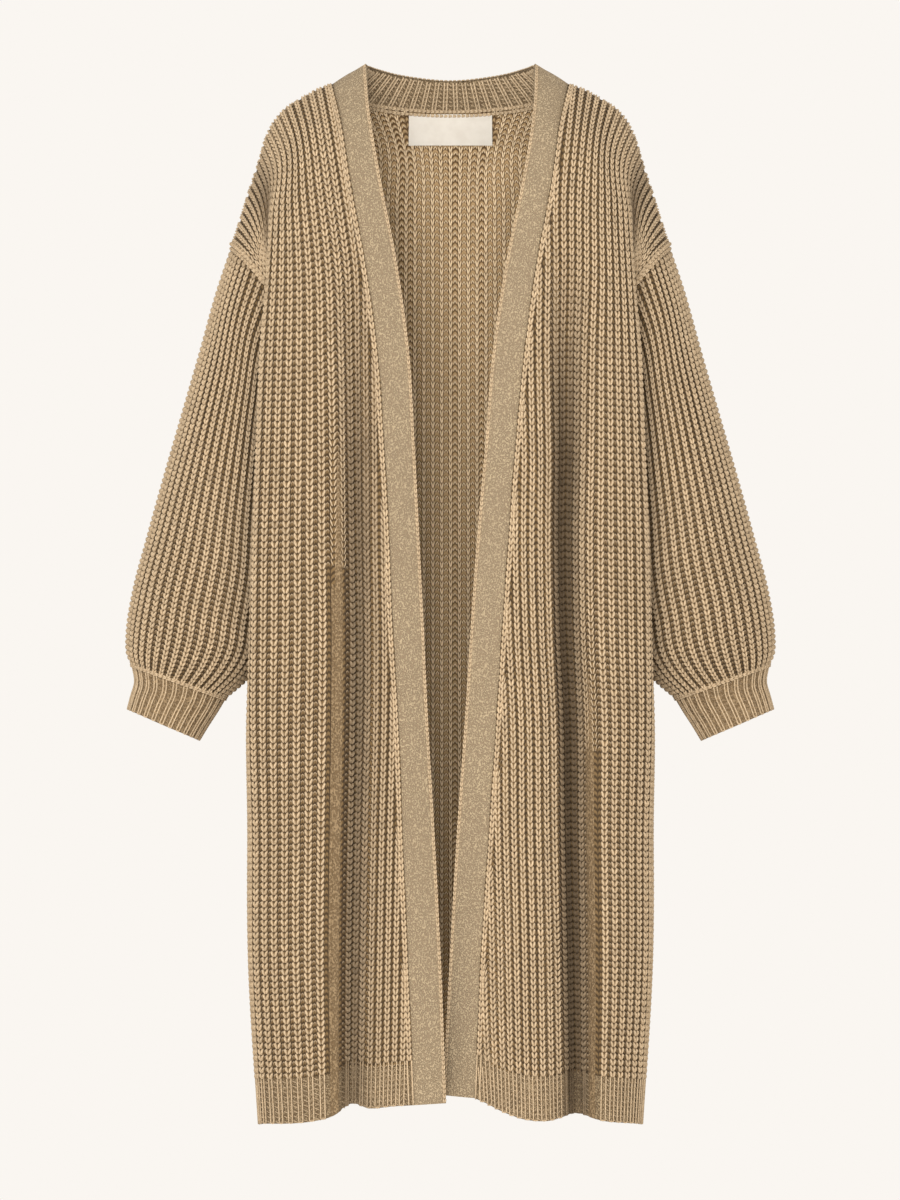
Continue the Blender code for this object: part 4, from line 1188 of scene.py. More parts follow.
@dataclass(frozen=True)
class KnitGround(Finish):
    """The cloth under and behind the raised stitches, drawn in wales and courses, with painted
    shade in the low parts of its drawn loops.

    Attributes:
        arch_bow: Courses that a purl arch's feet reach up from its top, at a wale from it.
        leg_slant: The same for the legs of the chain between.
        chain_edges: Wales from the middle at which the chain begins and is full.
        gap: Wales from the middle to the line of painted shade beside the chain, and half its
            width.
        fleck_mm: Length of a fleck.
        fleck_shown: How much the flecks lighten, and the shade that is left without them.
        light_edges: The height at which the light colour begins and is full.
    """

    height_mm: float = 0.9
    arch_bow: float = 4.5
    leg_slant: float = 2.2
    chain_edges: tuple[float, float] = (0.30, 0.34)
    gap: tuple[float, float] = (0.32, 0.05)
    fleck_mm: float = 1.5
    fleck_shown: tuple[float, float] = (0.6, 0.65)
    light_edges: tuple[float, float] = (0.15, 0.8)

    def material(self) -> bpy.types.Material:
        """Arched purl loops on the wales and narrow chains between, as the wrong side shows.

        Returns:
            The material, drawn by the wales and courses of the cloth's UVs.
        """
        made, sums, place = self.begin()
        tree = made.node_tree
        uv = add_node(tree, "ShaderNodeUVMap", uv_map="wales_and_courses").outputs[0]
        split = add_node(tree, "ShaderNodeSeparateXYZ", {0: uv})
        wale, course = split.outputs[0], split.outputs[1]
        off_wale = sums.of("ABSOLUTE", sums.of("SUBTRACT", sums.of("FRACT", wale), 0.5))
        arch = sums.of("MULTIPLY_ADD", sums.of("POWER", off_wale, 2.0), self.arch_bow, course)
        chain = sums.of("MULTIPLY_ADD", off_wale, -self.leg_slant, course)
        loops = sums.of("PINGPONG", arch, 0.5)
        legs = sums.of("PINGPONG", chain, 0.5)
        on_chain = sums.stepped(off_wale, *self.chain_edges)
        height = sums.of("ADD", sums.of("MULTIPLY", loops, sums.of("SUBTRACT", 1.0, on_chain)),
                         sums.of("MULTIPLY", legs, on_chain))
        height = sums.of("MULTIPLY", height, 2.0)
        gap = sums.of("ABSOLUTE", sums.of("SUBTRACT", off_wale, self.gap[0]))
        height = sums.of("MULTIPLY", height, sums.stepped(gap, 0.0, self.gap[1]))
        fleck = sums.noise(place, self.fleck_mm, 2.0)
        shown = sums.of("MULTIPLY", sums.stepped(height, *self.light_edges),
                        sums.of("MULTIPLY_ADD", fleck, *self.fleck_shown))
        # Painted shade: the low parts of the drawn loops take the deep colour.
        colour = sums.mix(shown, linear(self.deep), linear(self.light))
        return self.end(made, colour, height)


@dataclass(frozen=True)
class DenseKnit(Finish):
    """Fine double knit, so close that only its melange shows: short wandering flecks.

    Attributes:
        fleck_mm: Length of a fleck.
        fleck_edges: The noise at which the lighter colour begins and is full.
        bend: How much the flecks wander.
        squash: What places are multiplied by, so that flecks lie more along z.
        cloud_mm: Width of the lighter and darker patches.
    """

    height_mm: float = 1.0
    fleck_mm: float = 1.5
    fleck_edges: tuple[float, float] = (0.32, 0.66)
    bend: float = 0.5
    squash: tuple[float, float, float] = (1.2, 1.0, 0.9)
    cloud_mm: float = 35.0

    def material(self) -> bpy.types.Material:
        """Flecks about as long as two fine stitches, each a low bump."""
        made, sums, place = self.begin()
        tree = made.node_tree
        bent = add_node(tree, "ShaderNodeVectorMath",
                        {0: place, 1: self.squash}, operation="MULTIPLY").outputs[0]
        wandering = add_node(tree, "ShaderNodeTexNoise",
                             {"Vector": bent, "Scale": 1.0 / self.fleck_mm, "Detail": 0.0,
                              "Distortion": self.bend}).outputs[0]
        shown = sums.stepped(wandering, *self.fleck_edges)
        cloudy = sums.noise(place, self.cloud_mm, 1.0)
        base = sums.mix(cloudy, linear(self.middle), linear(self.light))
        colour = sums.mix(shown, linear(self.deep), base)
        return self.end(made, colour, shown)


@dataclass(frozen=True)
class WovenCotton(Finish):
    """Plain-woven cotton tape, bleached: matt, with a thread every third of a millimetre.

    Attributes:
        thread_mm: Width of a thread, drawn twice as coarse as real, so that it shows.
        mark_mm: Width of a handling mark.
        mark_edges: The noise at which a mark begins and is full.
        thread_shown: How much darker it is between the threads.
    """

    height_mm: float = 0.08
    thread_mm: float = 0.6
    mark_mm: float = 14.0
    mark_edges: tuple[float, float] = (0.35, 0.75)
    thread_shown: float = 0.12

    def material(self) -> bpy.types.Material:
        """Two crossed sets of threads over faint handling marks."""
        made, sums, place = self.begin()
        tree = made.node_tree
        split = add_node(tree, "ShaderNodeSeparateXYZ", {0: place})
        threads = [sums.of("PINGPONG", sums.of("MULTIPLY", split.outputs[k],
                                               1.0 / self.thread_mm), 0.5) for k in (0, 2)]
        weave = sums.of("ADD", *threads)
        marks = sums.stepped(sums.noise(place, self.mark_mm, 3.0), *self.mark_edges)
        base = sums.mix(marks, linear(self.light), linear(self.middle))
        colour = sums.mix(sums.of("MULTIPLY", weave, self.thread_shown), base,
                          linear(self.deep))
        return self.end(made, colour, weave)


@dataclass(frozen=True)
class PaintedFloor(Finish):
    """Smooth floor painted off-white, matt, with a faint unevenness of the roller."""

    patch_mm: float = 180.0
    roller_mm: float = 3.0

    def material(self) -> bpy.types.Material:
        """Off-white with a low, wide roller texture."""
        made, sums, place = self.begin()
        patches = sums.noise(place, self.patch_mm, 2.0)
        colour = sums.mix(patches, linear(self.light), linear(self.deep))
        return self.end(made, colour, sums.noise(place, self.roller_mm, 2.0))


class Palette:
    """The finishes of the cardigan, each made once."""

    def __init__(self) -> None:
        """Makes every material."""
        self.stitches = MelangeYarn(
            "sand_wool_yarn", "#D0B998", "#553F25", 0.92, 0.15, "#B79E7C").material()
        # The inside yarn is made lighter than the same yarn outside: painted light where little
        # light reaches inside the back.
        self.inside_stitches = MelangeYarn(
            "sand_wool_yarn_inside_painted_light", "#F8E1BE", "#70532F", 0.94, 0.2, "#E6CAA0").material()
        # The ground is the yarn made much darker: painted shade between the raised stitches.
        self.ground = KnitGround(
            "sand_wool_knit_ground_painted_shade", "#745C3A", "#3D2D17", 0.95, 0.1).material()
        # The inside ground is made lighter than the ground outside: painted light where little
        # light reaches inside.
        self.inside = KnitGround(
            "sand_wool_knit_inside_painted_light", "#AE9168", "#5A4226", 0.95, 0.1).material()
        self.rib_ground = DenseKnit(
            "sand_wool_rib_ground", "#948062", "#5F4B31", 0.95, 0.1, "#887457").material()
        self.dense = DenseKnit(
            "sand_wool_fine_knit", "#AB9879", "#86735A", 0.93, 0.2, "#A08D71").material()
        self.felted = DenseKnit(
            "sand_wool_pressed_fold", "#8E7757", "#665135", 0.93, 0.1, "#836D4F",
            fleck_mm=2.2).material()
        self.cotton = WovenCotton(
            "bleached_cotton_tape", "#E4DDD1", "#B5AB9A", 0.85, 0.1, "#DCD4C7").material()
        self.thread = MelangeYarn(
            "cotton_sewing_thread", "#F1ECE2", "#A89C88", 0.8, 0.1, "#E2DACB").material()
        self.floor = PaintedFloor(
            "matt_painted_floor", "#F7F3EE", "#F1ECE6", 0.8, 0.0).material()


# ------------------------------------------------------------------ pieces
@dataclass(frozen=True)
class Gauge:
    """How closely the courses are knitted (mm)."""

    rib_course: float = 5.2
    rib_courses: int = 9
    low_course: float = 6.3
    high_course: float = 7.4
    even_over: float = 1050.0

    def heights(self, length: float) -> np.ndarray:
        """Heights above the hem at which courses begin, past the given length."""
        at = [self.rib_course * k for k in range(self.rib_courses + 1)]
        while at[-1] < length + self.high_course:
            share = min(at[-1] / self.even_over, 1.0)
            at.append(at[-1] + self.low_course + (self.high_course - self.low_course) * share)
        return np.array(at)


@dataclass(frozen=True)
class RibKnit:
    """Double strands up the ribs, with fine ticks on the ribs and between them.

    Attributes:
        reach: Half the distance between the two strands of a rib (mm).
        swell: Thickness of a strand, 1 for that of the wales.
        tick_swell: The same for the ticks.
        gap_shade: Painted shade of the ticks, from 0 to 1, for lying down between the strands.
        tick_share: How far a tick reaches across its rib, as a share of reach.
    """

    reach: float
    swell: float = 1.0
    tick_swell: float = 1.0
    gap_shade: float = 0.3
    tick_share: float = 0.42

    def strands(self, yarn: Yarn, grid: Courses, ribs: tuple[np.ndarray, np.ndarray]) -> None:
        """Lays both strands of each rib."""
        yarn.lay(grid, RIB_LEG, ribs, self.reach, self.swell, sides=MIRRORED)

    def turns(self, yarn: Yarn, grid: Courses, ribs: tuple[np.ndarray, np.ndarray]) -> None:
        """Turns the strands round the free edge."""
        edge = ribs[0] == 0
        yarn.lay(grid, HEM_TURN, (ribs[0][edge], ribs[1][edge]), self.reach, self.swell)

    def ticks(self, yarn: Yarn, grid: Courses, ribs: tuple[np.ndarray, np.ndarray],
              between: tuple[np.ndarray, np.ndarray], gap: np.ndarray | float) -> None:
        """Lays the ticks.

        Args:
            yarn: Where they are gathered.
            grid: The courses they lie on.
            ribs: Course and column of those on the ribs.
            between: The same for those between the ribs.
            gap: How far the latter reach to either side (mm).
        """
        # The ticks get painted shade for lying between the strands.
        yarn.lay(grid, RIB_TICK, ribs, self.reach * self.tick_share, self.tick_swell,
                 gap_shade=self.gap_shade)
        yarn.lay(grid, RIB_TICK, between, gap, self.tick_swell, sides=(-1,), gap_shade=self.gap_shade)


@dataclass
class Relief:
    """How the knit stands out of its cloth (mm).

    Attributes:
        wall: Thickness of the plain cloth.
        valley: How high it stands between two wales.
        under_wale: The same under a wale.
        v_reach: Half width of a V's middle line, to which a share of the wale is added.
        v_share: That share.
        narrow_share: The most of its wale that a V's middle line takes up.
        swells: How plump the yarn lies: widths of a wale, and the swell at each.
        flat_swell: The share of it that is kept where a wale runs out.
        wide_wale: The widths of a wale between which purl arches come into sight.
        arch_seen: The least that an arch is in sight for it to be made.
        arch_share: How far an arch reaches across, as a share of the half wale.
        arch_up: Courses that it is moved up.
        arch_gap_shade: Painted shade of an arch, from 0 to 1, for lying down between the wales.
        rib: The ribbed hem.
    """

    wall: float = 2.6
    valley: float = -1.1
    under_wale: float = 0.4
    v_reach: float = 1.4
    v_share: float = 0.14
    narrow_share: float = 0.5
    swells: tuple = ((2.0, 5.0, 9.0, 12.6), (0.35, 0.6, 1.0, 1.1))
    flat_swell: float = 0.35
    wide_wale: tuple[float, float] = (8.4, 10.6)
    arch_seen: float = 0.3
    arch_share: float = 0.30
    arch_up: float = 0.5
    arch_gap_shade: float = 0.46
    rib: RibKnit = RibKnit(reach=2.3, swell=0.8, tick_swell=0.75)

    def reach(self, half_pitch: np.ndarray) -> np.ndarray:
        """Half width of a V's middle line for wales of the given half width."""
        return np.minimum(self.v_reach + self.v_share * 2 * half_pitch,
                          self.narrow_share * half_pitch)

    def swell(self, half_pitch: np.ndarray) -> np.ndarray:
        """How much plumper than usual the yarn lies in wales of the given half width."""
        return np.interp(2 * half_pitch, *self.swells)

    def flattened(self, open_share: np.ndarray) -> np.ndarray:
        """How much of its plumpness the yarn keeps where its wale runs out."""
        return self.flat_swell + (1.0 - self.flat_swell) * np.clip(open_share, 0.0, 1.0)

    def raised(self, wale: np.ndarray) -> np.ndarray:
        """Height of the plain cloth: low between the wales and higher under them."""
        return self.valley + (self.under_wale - self.valley) * waved(wale)


def knit_on(yarn: Yarn, courses: Courses, relief: Relief, gauge: Gauge, closed: bool,
            leg: Loop, columns: tuple[int, int] | None = None) -> None:
    """Lays the Vs of a panel's wales, the purl arches between them and the hem's ribs.

    Args:
        yarn: Where the loops are gathered.
        courses: The panel's grid; its wales are centred on the odd columns.
        relief: Sizes of the loops.
        gauge: Where the ribbed hem ends.
        closed: Whether the panel is a tube.
        leg: The loop used for each leg.
        columns: First and last column worked, where it isn't all of them.
    """
    first, last = columns or (0, courses.points.shape[1])

    def kept(cells: tuple[np.ndarray, np.ndarray]) -> tuple[np.ndarray, np.ndarray]:
        """Those of the cells that lie in the columns worked."""
        inside = (cells[1] >= first) & (cells[1] < last)
        return cells[0][inside], cells[1][inside]

    top = len(courses.points)
    wales = kept(courses.cells(1, 2, gauge.rib_courses, top, closed))
    half = courses.half_pitch(*wales)
    swell = relief.swell(half) * relief.flattened(courses.open_share[wales])
    yarn.lay(courses, leg, wales, relief.reach(half), swell, sides=MIRRORED)
    valleys = kept(courses.cells(0 if closed else 2, 2, gauge.rib_courses, top, closed))
    half = courses.half_pitch(*valleys)
    seen = np.interp(2 * half, relief.wide_wale, (0.0, 1.0))
    wide = seen > relief.arch_seen
    # The arches get painted shade for lying between the wales.
    yarn.lay(courses, PURL_ARCH, (valleys[0][wide], valleys[1][wide]),
             half[wide] * relief.arch_share, seen[wide], up=relief.arch_up,
             gap_shade=relief.arch_gap_shade)
    ribs = kept(courses.cells(1, 2, 0, gauge.rib_courses, closed))
    relief.rib.strands(yarn, courses, ribs)
    relief.rib.turns(yarn, courses, ribs)
    between = kept(courses.cells(0 if closed else 2, 2, 0, gauge.rib_courses, closed))
    relief.rib.ticks(yarn, courses, ribs, between,
                     courses.half_pitch(*between) - relief.rib.reach)


def chain_on(yarn: Yarn, points: np.ndarray, normals: np.ndarray, step: float, reach: float,
             swell: float) -> None:
    """Lays a chain of small Vs along a line, from its end to its start.

    Args:
        yarn: Where the loops are gathered.
        points: (count, 3) along the line.
        normals: The way the chain faces.
        step: Length of one V.
        reach: Half width of its middle line.
        swell: Thickness of its yarn, 1 for that of the wales.
    """
    length = arc_length(points)[-1]
    heights = np.arange(0.0, length + step, step)
    line = Courses.on(points[:, None], normals[:, None], heights)
    count = int(length / step)
    cells = (np.arange(count), np.zeros(count, int))
    yarn.lay(line, PLAIN_LEG, cells, reach, swell, sides=MIRRORED)


def dressed(cloth: bpy.types.Object, node: str,
            pieces: list[bpy.types.Object]) -> None:
    """Makes cloth and what is knitted on it stand for a node.

    Args:
        cloth: The wall of cloth.
        node: The solid it stands for.
        pieces: The pieces of yarn on it.
    """
    for piece in [cloth, *pieces]:
        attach(piece, BODY)
    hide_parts(node)
    LOG.info("%s: %d faces of cloth, %d of yarn", node, len(cloth.data.polygons),
             sum(len(piece.data.polygons) for piece in pieces))


def course_map(surface: Surface, heights: np.ndarray) -> np.ndarray:
    """Courses up from the hem at each point of a surface."""
    length = arc_length(surface.points[::-1])[::-1]
    return np.interp(length, heights, np.arange(len(heights)))


def panel_cloth(name: str, surface: Surface, heights: np.ndarray, relief: Relief,
                gauge: Gauge, finishes: Palette) -> bpy.types.Object:
    """The cloth of a front or the back, flat at its top edge and ribbed at its hem.

    Args:
        name: Its name.
        surface: The panel; the cloth takes every other row of it.
        heights: Heights above the hem at which courses begin.
        relief: How the cloth waves under its wales.
        gauge: Where the ribbed hem ends.
        finishes: The cardigan's materials.

    Returns:
        The wall of cloth.
    """
    sparse = surface.rows(2)
    raised = relief.raised(sparse.wale)
    raised[0] = 0.0
    return cloth_wall(name, sparse, raised, relief.wall, course_map(sparse, heights),
                      [finishes.ground, finishes.inside, finishes.rib_ground],
                      gauge.rib_courses + RIB_RISE)


@dataclass
class FrontPanel:
    """One front: wales from the side seam over the long fold to the slanting band seam."""

    side: Side
    finishes: Palette
    gauge: Gauge = field(default_factory=Gauge)
    relief: Relief = field(default_factory=Relief)
    row_step: float = 6.0
    strip_wales: int = 10       # resolution past the fold
    strip_pitch: float = 8.5
    seen_flat: tuple[float, float, float] = (1.0, 0.25, 1.0)  # wales open on the fold's flank
    seam_margin: float = 3.4    # from the band seam to the wale that runs along it
    seam_wale: float = 0.85     # how wide that wale's Vs are, as a share of the usual
    straight_until: float = 0.20    # share of a wale that a straight one keeps from that wale
    crease_round: float = 30.0      # how far from the crease the shading follows it
    hollow_round: float = 3.0       # how fast it follows the hollow
    pressed_over: float = 220.0     # how far down the pressed edge takes to grow
    pressed_least: float = 0.05     # the share of its width that it begins with
    pressed_columns: int = 13
    pressed_lift: float = 1.6
    pressed_sunk: float = 1.0
    pressed_wall: float = 2.0
    pressed_inset: tuple[float, float] = (0.3, 0.7)     # half wales that its Vs stop within
    pressed_clear: float = 1.1      # from this much of its growth on, it has no Vs
    flat: tuple[float, float] = (0.36, 1.13)
    area: float = 0.33

    def creased(self, surface: Surface, fold: int) -> np.ndarray:
        """Sinks the long fold into a crease.

        Args:
            surface: The front, which is changed.
            fold: The column of the fold.

        Returns:
            The painted shade of each point, from 0 to 1, down in the fold and in the hollow.
        """
        crease = named(CREASE_COLUMNS, CREASE[self.side])
        off = arc_length(surface.points.transpose(1, 0, 2)).T
        off = off - off[:, fold:fold + 1]
        lip = np.exp(-((off - crease["lip_at"]) / crease["lip_width"])**2)
        spread_off = (off - crease["lip_at"] / 2) / self.crease_round
        # Painted shade: the yarn is made darker down in the fold.
        strength, *reach = FOLD_SHADE[self.side]
        shade = strength * np.exp(-(off / np.where(off < 0.0, *reach))**2)
        off = np.where(off < 0.0, off / crease["to_seam"], off / crease["to_band"])
        drop = surface.points[:, fold, 2]
        grown = np.interp(-drop, *CREASE_GROWS)[:, None]
        trough = np.exp(-np.abs(off)**crease["squareness"])
        surface.points[..., 1] += grown * (crease["depth"] * trough - crease["lip"] * lip)
        self.turned(surface, np.exp(-spread_off**4))
        return shade * grown + self.hollowed(surface)

    def turned(self, surface: Surface, near: np.ndarray) -> None:
        """Turns the normals to the form as it is now.

        Args:
            surface: The front, which is changed.
            near: How much of each normal is turned, from 0 to 1.
        """
        down, across = np.gradient(surface.points, axis=(0, 1))
        formed = unit(np.cross(across, down)) * self.side.value
        near = near[..., None]
        surface.normals[:] = unit(surface.normals * (1 - near) + formed * near)

    def hollowed(self, surface: Surface) -> np.ndarray:
        """Sinks the front between the dropped shoulder and the body's corner.

        Args:
            surface: The front, which is changed.

        Returns:
            The painted shade of each point for lying in the hollow, from 0 to 1.
        """
        # dark is the painted shade of the hollow at its deepest.
        at, width, depth, dark = HOLLOW
        columns = np.arange(surface.points.shape[1])
        hollow = (np.interp(-surface.points[:, int(at), 2], *HOLLOW_GROWS)[:, None]
                  * np.exp(-((columns - at) / width)**2)[None])
        surface.points[:] -= surface.normals * (depth * hollow)[..., None]
        near = np.clip(hollow * self.hollow_round, 0.0, 1.0)
        near[:, 0] = 0.0
        self.turned(surface, near)
        return dark * hollow

    def pressed_edge(self, surface: Surface, fold: int,
                     heights: np.ndarray) -> bpy.types.Object:
        """The smooth felted edge along the outer side of the fold.

        Args:
            surface: The front.
            fold: The column of the fold.
            heights: Heights above the hem at which courses begin.

        Returns:
            The edge as a wall of its own.
        """
        start, away, wide = PRESSED[self.side]
        rows = surface.points[:, fold, 2] < start
        both = np.concatenate([surface.points, surface.normals], axis=2)[rows]
        grown = np.clip((start - both[:, fold, 2]) / self.pressed_over, self.pressed_least, 1.0)
        share = np.linspace(0.0, 1.0, self.pressed_columns)
        across = np.arange(both.shape[1])
        fine = fold - away - np.outer(grown, wide * (1.0 - share))
        laid = np.array([resampled(at, across, row) for at, row in zip(fine, both)])
        face = Surface(laid[..., :3], unit(laid[..., 3:]), fine / 2)
        raised = (grown[:, None] * self.pressed_lift * np.sin(math.pi * share)**0.5
                  - self.pressed_sunk)
        return cloth_wall(f"front_{self.side.word}_pressed_edge", face, raised,
                          self.pressed_wall, course_map(face, heights),
                          [self.finishes.felted] * 2)

    def build(self) -> None:
        """Makes the cloth and its stitches."""
        at = panel_levels(self.row_step)
        surface = front_surface(self.side, at, self.strip_wales, self.strip_pitch)
        surface = surface.mirrored(self.side)
        fold = 2 * (SIDE_WALES + FRONT_WALES)
        shade = self.creased(surface, fold)
        heights = self.gauge.heights(arc_length(surface.points)[-1].max())
        cloth = panel_cloth(f"front_{self.side.word}_cloth", surface, heights, self.relief,
                            self.gauge, self.finishes)
        stitches = self.stitches(surface, fold, heights, shade)
        dressed(cloth, f"front_{self.side.word}",
                [stitches, self.pressed_edge(surface, fold, heights)])

    def stitches(self, surface: Surface, fold: int, heights: np.ndarray,
                 shade: np.ndarray) -> bpy.types.Object:
        """Lays the wales: those that hang from the shoulder, and one along the band seam.

        Args:
            surface: The front.
            fold: The column of the fold; past it wales are straight and run into the seam.
            heights: Heights above the hem at which courses begin.
            shade: Painted shade of each point, from 0 to 1, for lying down in a fold or the
                hollow.

        Returns:
            The front's stitches.
        """
        past = arc_length((surface.points * self.seen_flat)[:, fold:].transpose(1, 0, 2)).T
        both = np.concatenate([surface.points[:, fold:], surface.normals[:, fold:]], axis=2)
        steps = np.arange(self.strip_pitch / 2, past.max(), self.strip_pitch / 2)
        edge_at = past[:, -1] - self.seam_margin
        strip = np.array([resampled(steps, row, values) for row, values in zip(past, both)])
        along = np.array([resampled(end, row, values)
                          for end, row, values in zip(edge_at, past, both)])
        room = edge_at[:, None] - self.straight_until * self.strip_pitch - steps[None]
        points = np.concatenate([surface.points[:, :fold + 1], strip[..., :3]], axis=1)
        normals = np.concatenate([surface.normals[:, :fold + 1], strip[..., 3:]], axis=1)
        open_share = np.concatenate([np.ones((len(room), fold + 1)), room], axis=1)
        start, away, wide = PRESSED[self.side]
        grown = np.clip((start - surface.points[:, fold, 2]) / self.pressed_over, 0.0, 1.0)
        inset = (fold - away - wide + self.pressed_inset[0], fold - away + self.pressed_inset[1])
        for column in np.arange(*inset).astype(int):
            open_share[:, column] = 1.0 - self.pressed_clear * grown
        strip_shade = np.array([np.interp(steps, row, values)
                                for row, values in zip(past, shade[:, fold:])])
        yarn = Yarn(seed=11 + self.side.value)
        grid = Courses.on(points, normals, heights, open_share,
                          np.hstack([shade[:, :fold + 1], strip_shade]))
        knit_on(yarn, grid, self.relief, self.gauge, False, PLUMP_LEG)
        beside = Courses.on(along[..., :3], along[..., 3:], heights)
        count = int(beside.count[0])
        wales = np.arange(self.gauge.rib_courses, count)
        yarn.lay(beside, PLUMP_LEG, (wales, np.zeros_like(wales)),
                 self.relief.reach(self.strip_pitch / 2) * self.seam_wale, sides=MIRRORED)
        ribs = np.arange(self.gauge.rib_courses)
        yarn.lay(beside, RIB_LEG, (ribs, np.zeros_like(ribs)), self.relief.rib.reach,
                 sides=MIRRORED)
        return yarn.made(f"front_{self.side.word}_stitches", self.finishes.stitches)


@dataclass
class BackPanel:
    """The back: one panel from side seam to side seam, stitched outside and, where the open
    front shows it, inside too."""

    finishes: Palette
    gauge: Gauge = field(default_factory=Gauge)
    relief: Relief = field(default_factory=Relief)
    row_step: float = 6.0
    seen_past_bands: float = 24.0       # how far behind the bands the inside is stitched
    inside_arch: float = 0.37           # reach of the inside's loops, in half wales
    inside_leg: float = 0.25
    arch_up: float = 0.6                # courses that the arches are moved up
    uneven: float = 0.4                 # the most courses that two wales differ in level
    uneven_seed: int = 37
    label_half_width: float = 47.0
    label_bottom: float = -86.0
    flat: tuple[float, float] = (0.66, 1.12)
    area: float = 0.66

    def build(self) -> None:
        """Makes the cloth, the stitches of each half outside and those inside."""
        at = panel_levels(self.row_step)
        surface = back_surface(at)
        heights = self.gauge.heights(arc_length(surface.points)[-1].max())
        cloth = panel_cloth("back_cloth", surface, heights, self.relief, self.gauge,
                            self.finishes)
        grid = Courses.on(surface.points, surface.normals, heights)
        middle = surface.points.shape[1] // 2
        pieces = []
        for name, columns in (("right", (0, middle)), ("left", (middle, 2 * middle + 1))):
            yarn = Yarn(seed=21 + len(pieces))
            knit_on(yarn, grid, self.relief, self.gauge, False, PLAIN_LEG, columns)
            pieces.append(yarn.made(f"back_{name}_stitches", self.finishes.stitches))
        pieces.append(self.inside_stitches(surface, heights))
        dressed(cloth, "back", pieces)

    def inside_stitches(self, surface: Surface, heights: np.ndarray) -> bpy.types.Object:
        """The wrong side of the knit behind the open front: full arches and slim chains.

        Args:
            surface: The back.
            heights: Heights above the hem at which courses begin.

        Returns:
            The stitches on the inside.
        """
        inner = surface.points - surface.normals * self.relief.wall
        x, z = inner[..., 0], inner[..., 2]
        room = np.full(x.shape, self.seen_past_bands)
        for side in Side:
            gaps = [named(OPENING_COLUMNS, row) for row in OPENING[side]]
            free = np.interp(-z, [-gap["free_z"] for gap in gaps], [gap["free_x"] for gap in gaps])
            room = np.minimum(room, free + self.seen_past_bands - x * side.value)
        under_label = (np.abs(x) < self.label_half_width) & (z > self.label_bottom)
        room[under_label] = -1.0
        grid = Courses.on(inner, -surface.normals, heights, room)
        yarn = Yarn(seed=31)
        top = len(grid.points)
        arches = grid.cells(1, 2, 0, top, False)
        # No two wales hang quite level with each other.
        varied = np.random.default_rng(self.uneven_seed).random(grid.points.shape[1])
        uneven = self.uneven * varied
        yarn.lay(grid, INSIDE_ARCH, arches, grid.half_pitch(*arches) * self.inside_arch,
                 up=self.arch_up + uneven[arches[1]])
        legs = grid.cells(2, 2, 0, top, False)
        yarn.lay(grid, INSIDE_LEG, legs, grid.half_pitch(*legs) * self.inside_leg,
                 sides=MIRRORED, up=uneven[legs[1]])
        return yarn.made("back_inside_stitches", self.finishes.inside_stitches)


@dataclass
class FrontBand:
    """A front band: dense fine knit with a chain selvedge down its free edge."""

    side: Side
    finishes: Palette
    row_step: float = 6.0
    columns: int = 13
    crown: float = 1.2
    wall: float = 3.4
    edge_round: float = 0.25        # share of the wall taken off each face at the free edge
    course: float = 4.0
    longest: float = 1200.0         # past the band's length
    chain: tuple[float, float, float] = (5.0, 1.2, 0.75)    # step, reach and swell
    chain_inset: float = 0.05       # share of the band's width
    seam_dip: float = 0.9
    flat: tuple[float, float] = (0.042, 1.13)
    area: float = 0.0445

    def build(self) -> None:
        """Makes the band and its selvedge."""
        at = panel_levels(self.row_step)
        surface = band_surface(self.side, at, self.columns, self.crown).mirrored(self.side)
        sparse = surface.rows(2)
        rounded = np.zeros(sparse.wale.shape)
        thickness = np.full(sparse.wale.shape, self.wall)
        thickness[:, -1] = self.wall * (1.0 - self.edge_round)
        rounded[:, -1] = -self.wall * self.edge_round
        rounded[:, 0] = -self.seam_dip
        heights = np.arange(0.0, self.longest, self.course)
        cloth = cloth_wall(f"band_{self.side.word}_cloth", sparse, rounded, thickness,
                           course_map(sparse, heights), [self.finishes.dense] * 2)
        yarn = Yarn(seed=41 + self.side.value)
        inset = (surface.points[:, -1] * (1 - self.chain_inset)
                 + surface.points[:, 0] * self.chain_inset)
        chain_on(yarn, inset, surface.normals[:, -2], *self.chain)
        selvedge = yarn.made(f"band_{self.side.word}_selvedge", self.finishes.stitches)
        dressed(cloth, f"band_{self.side.word}",
                [selvedge])


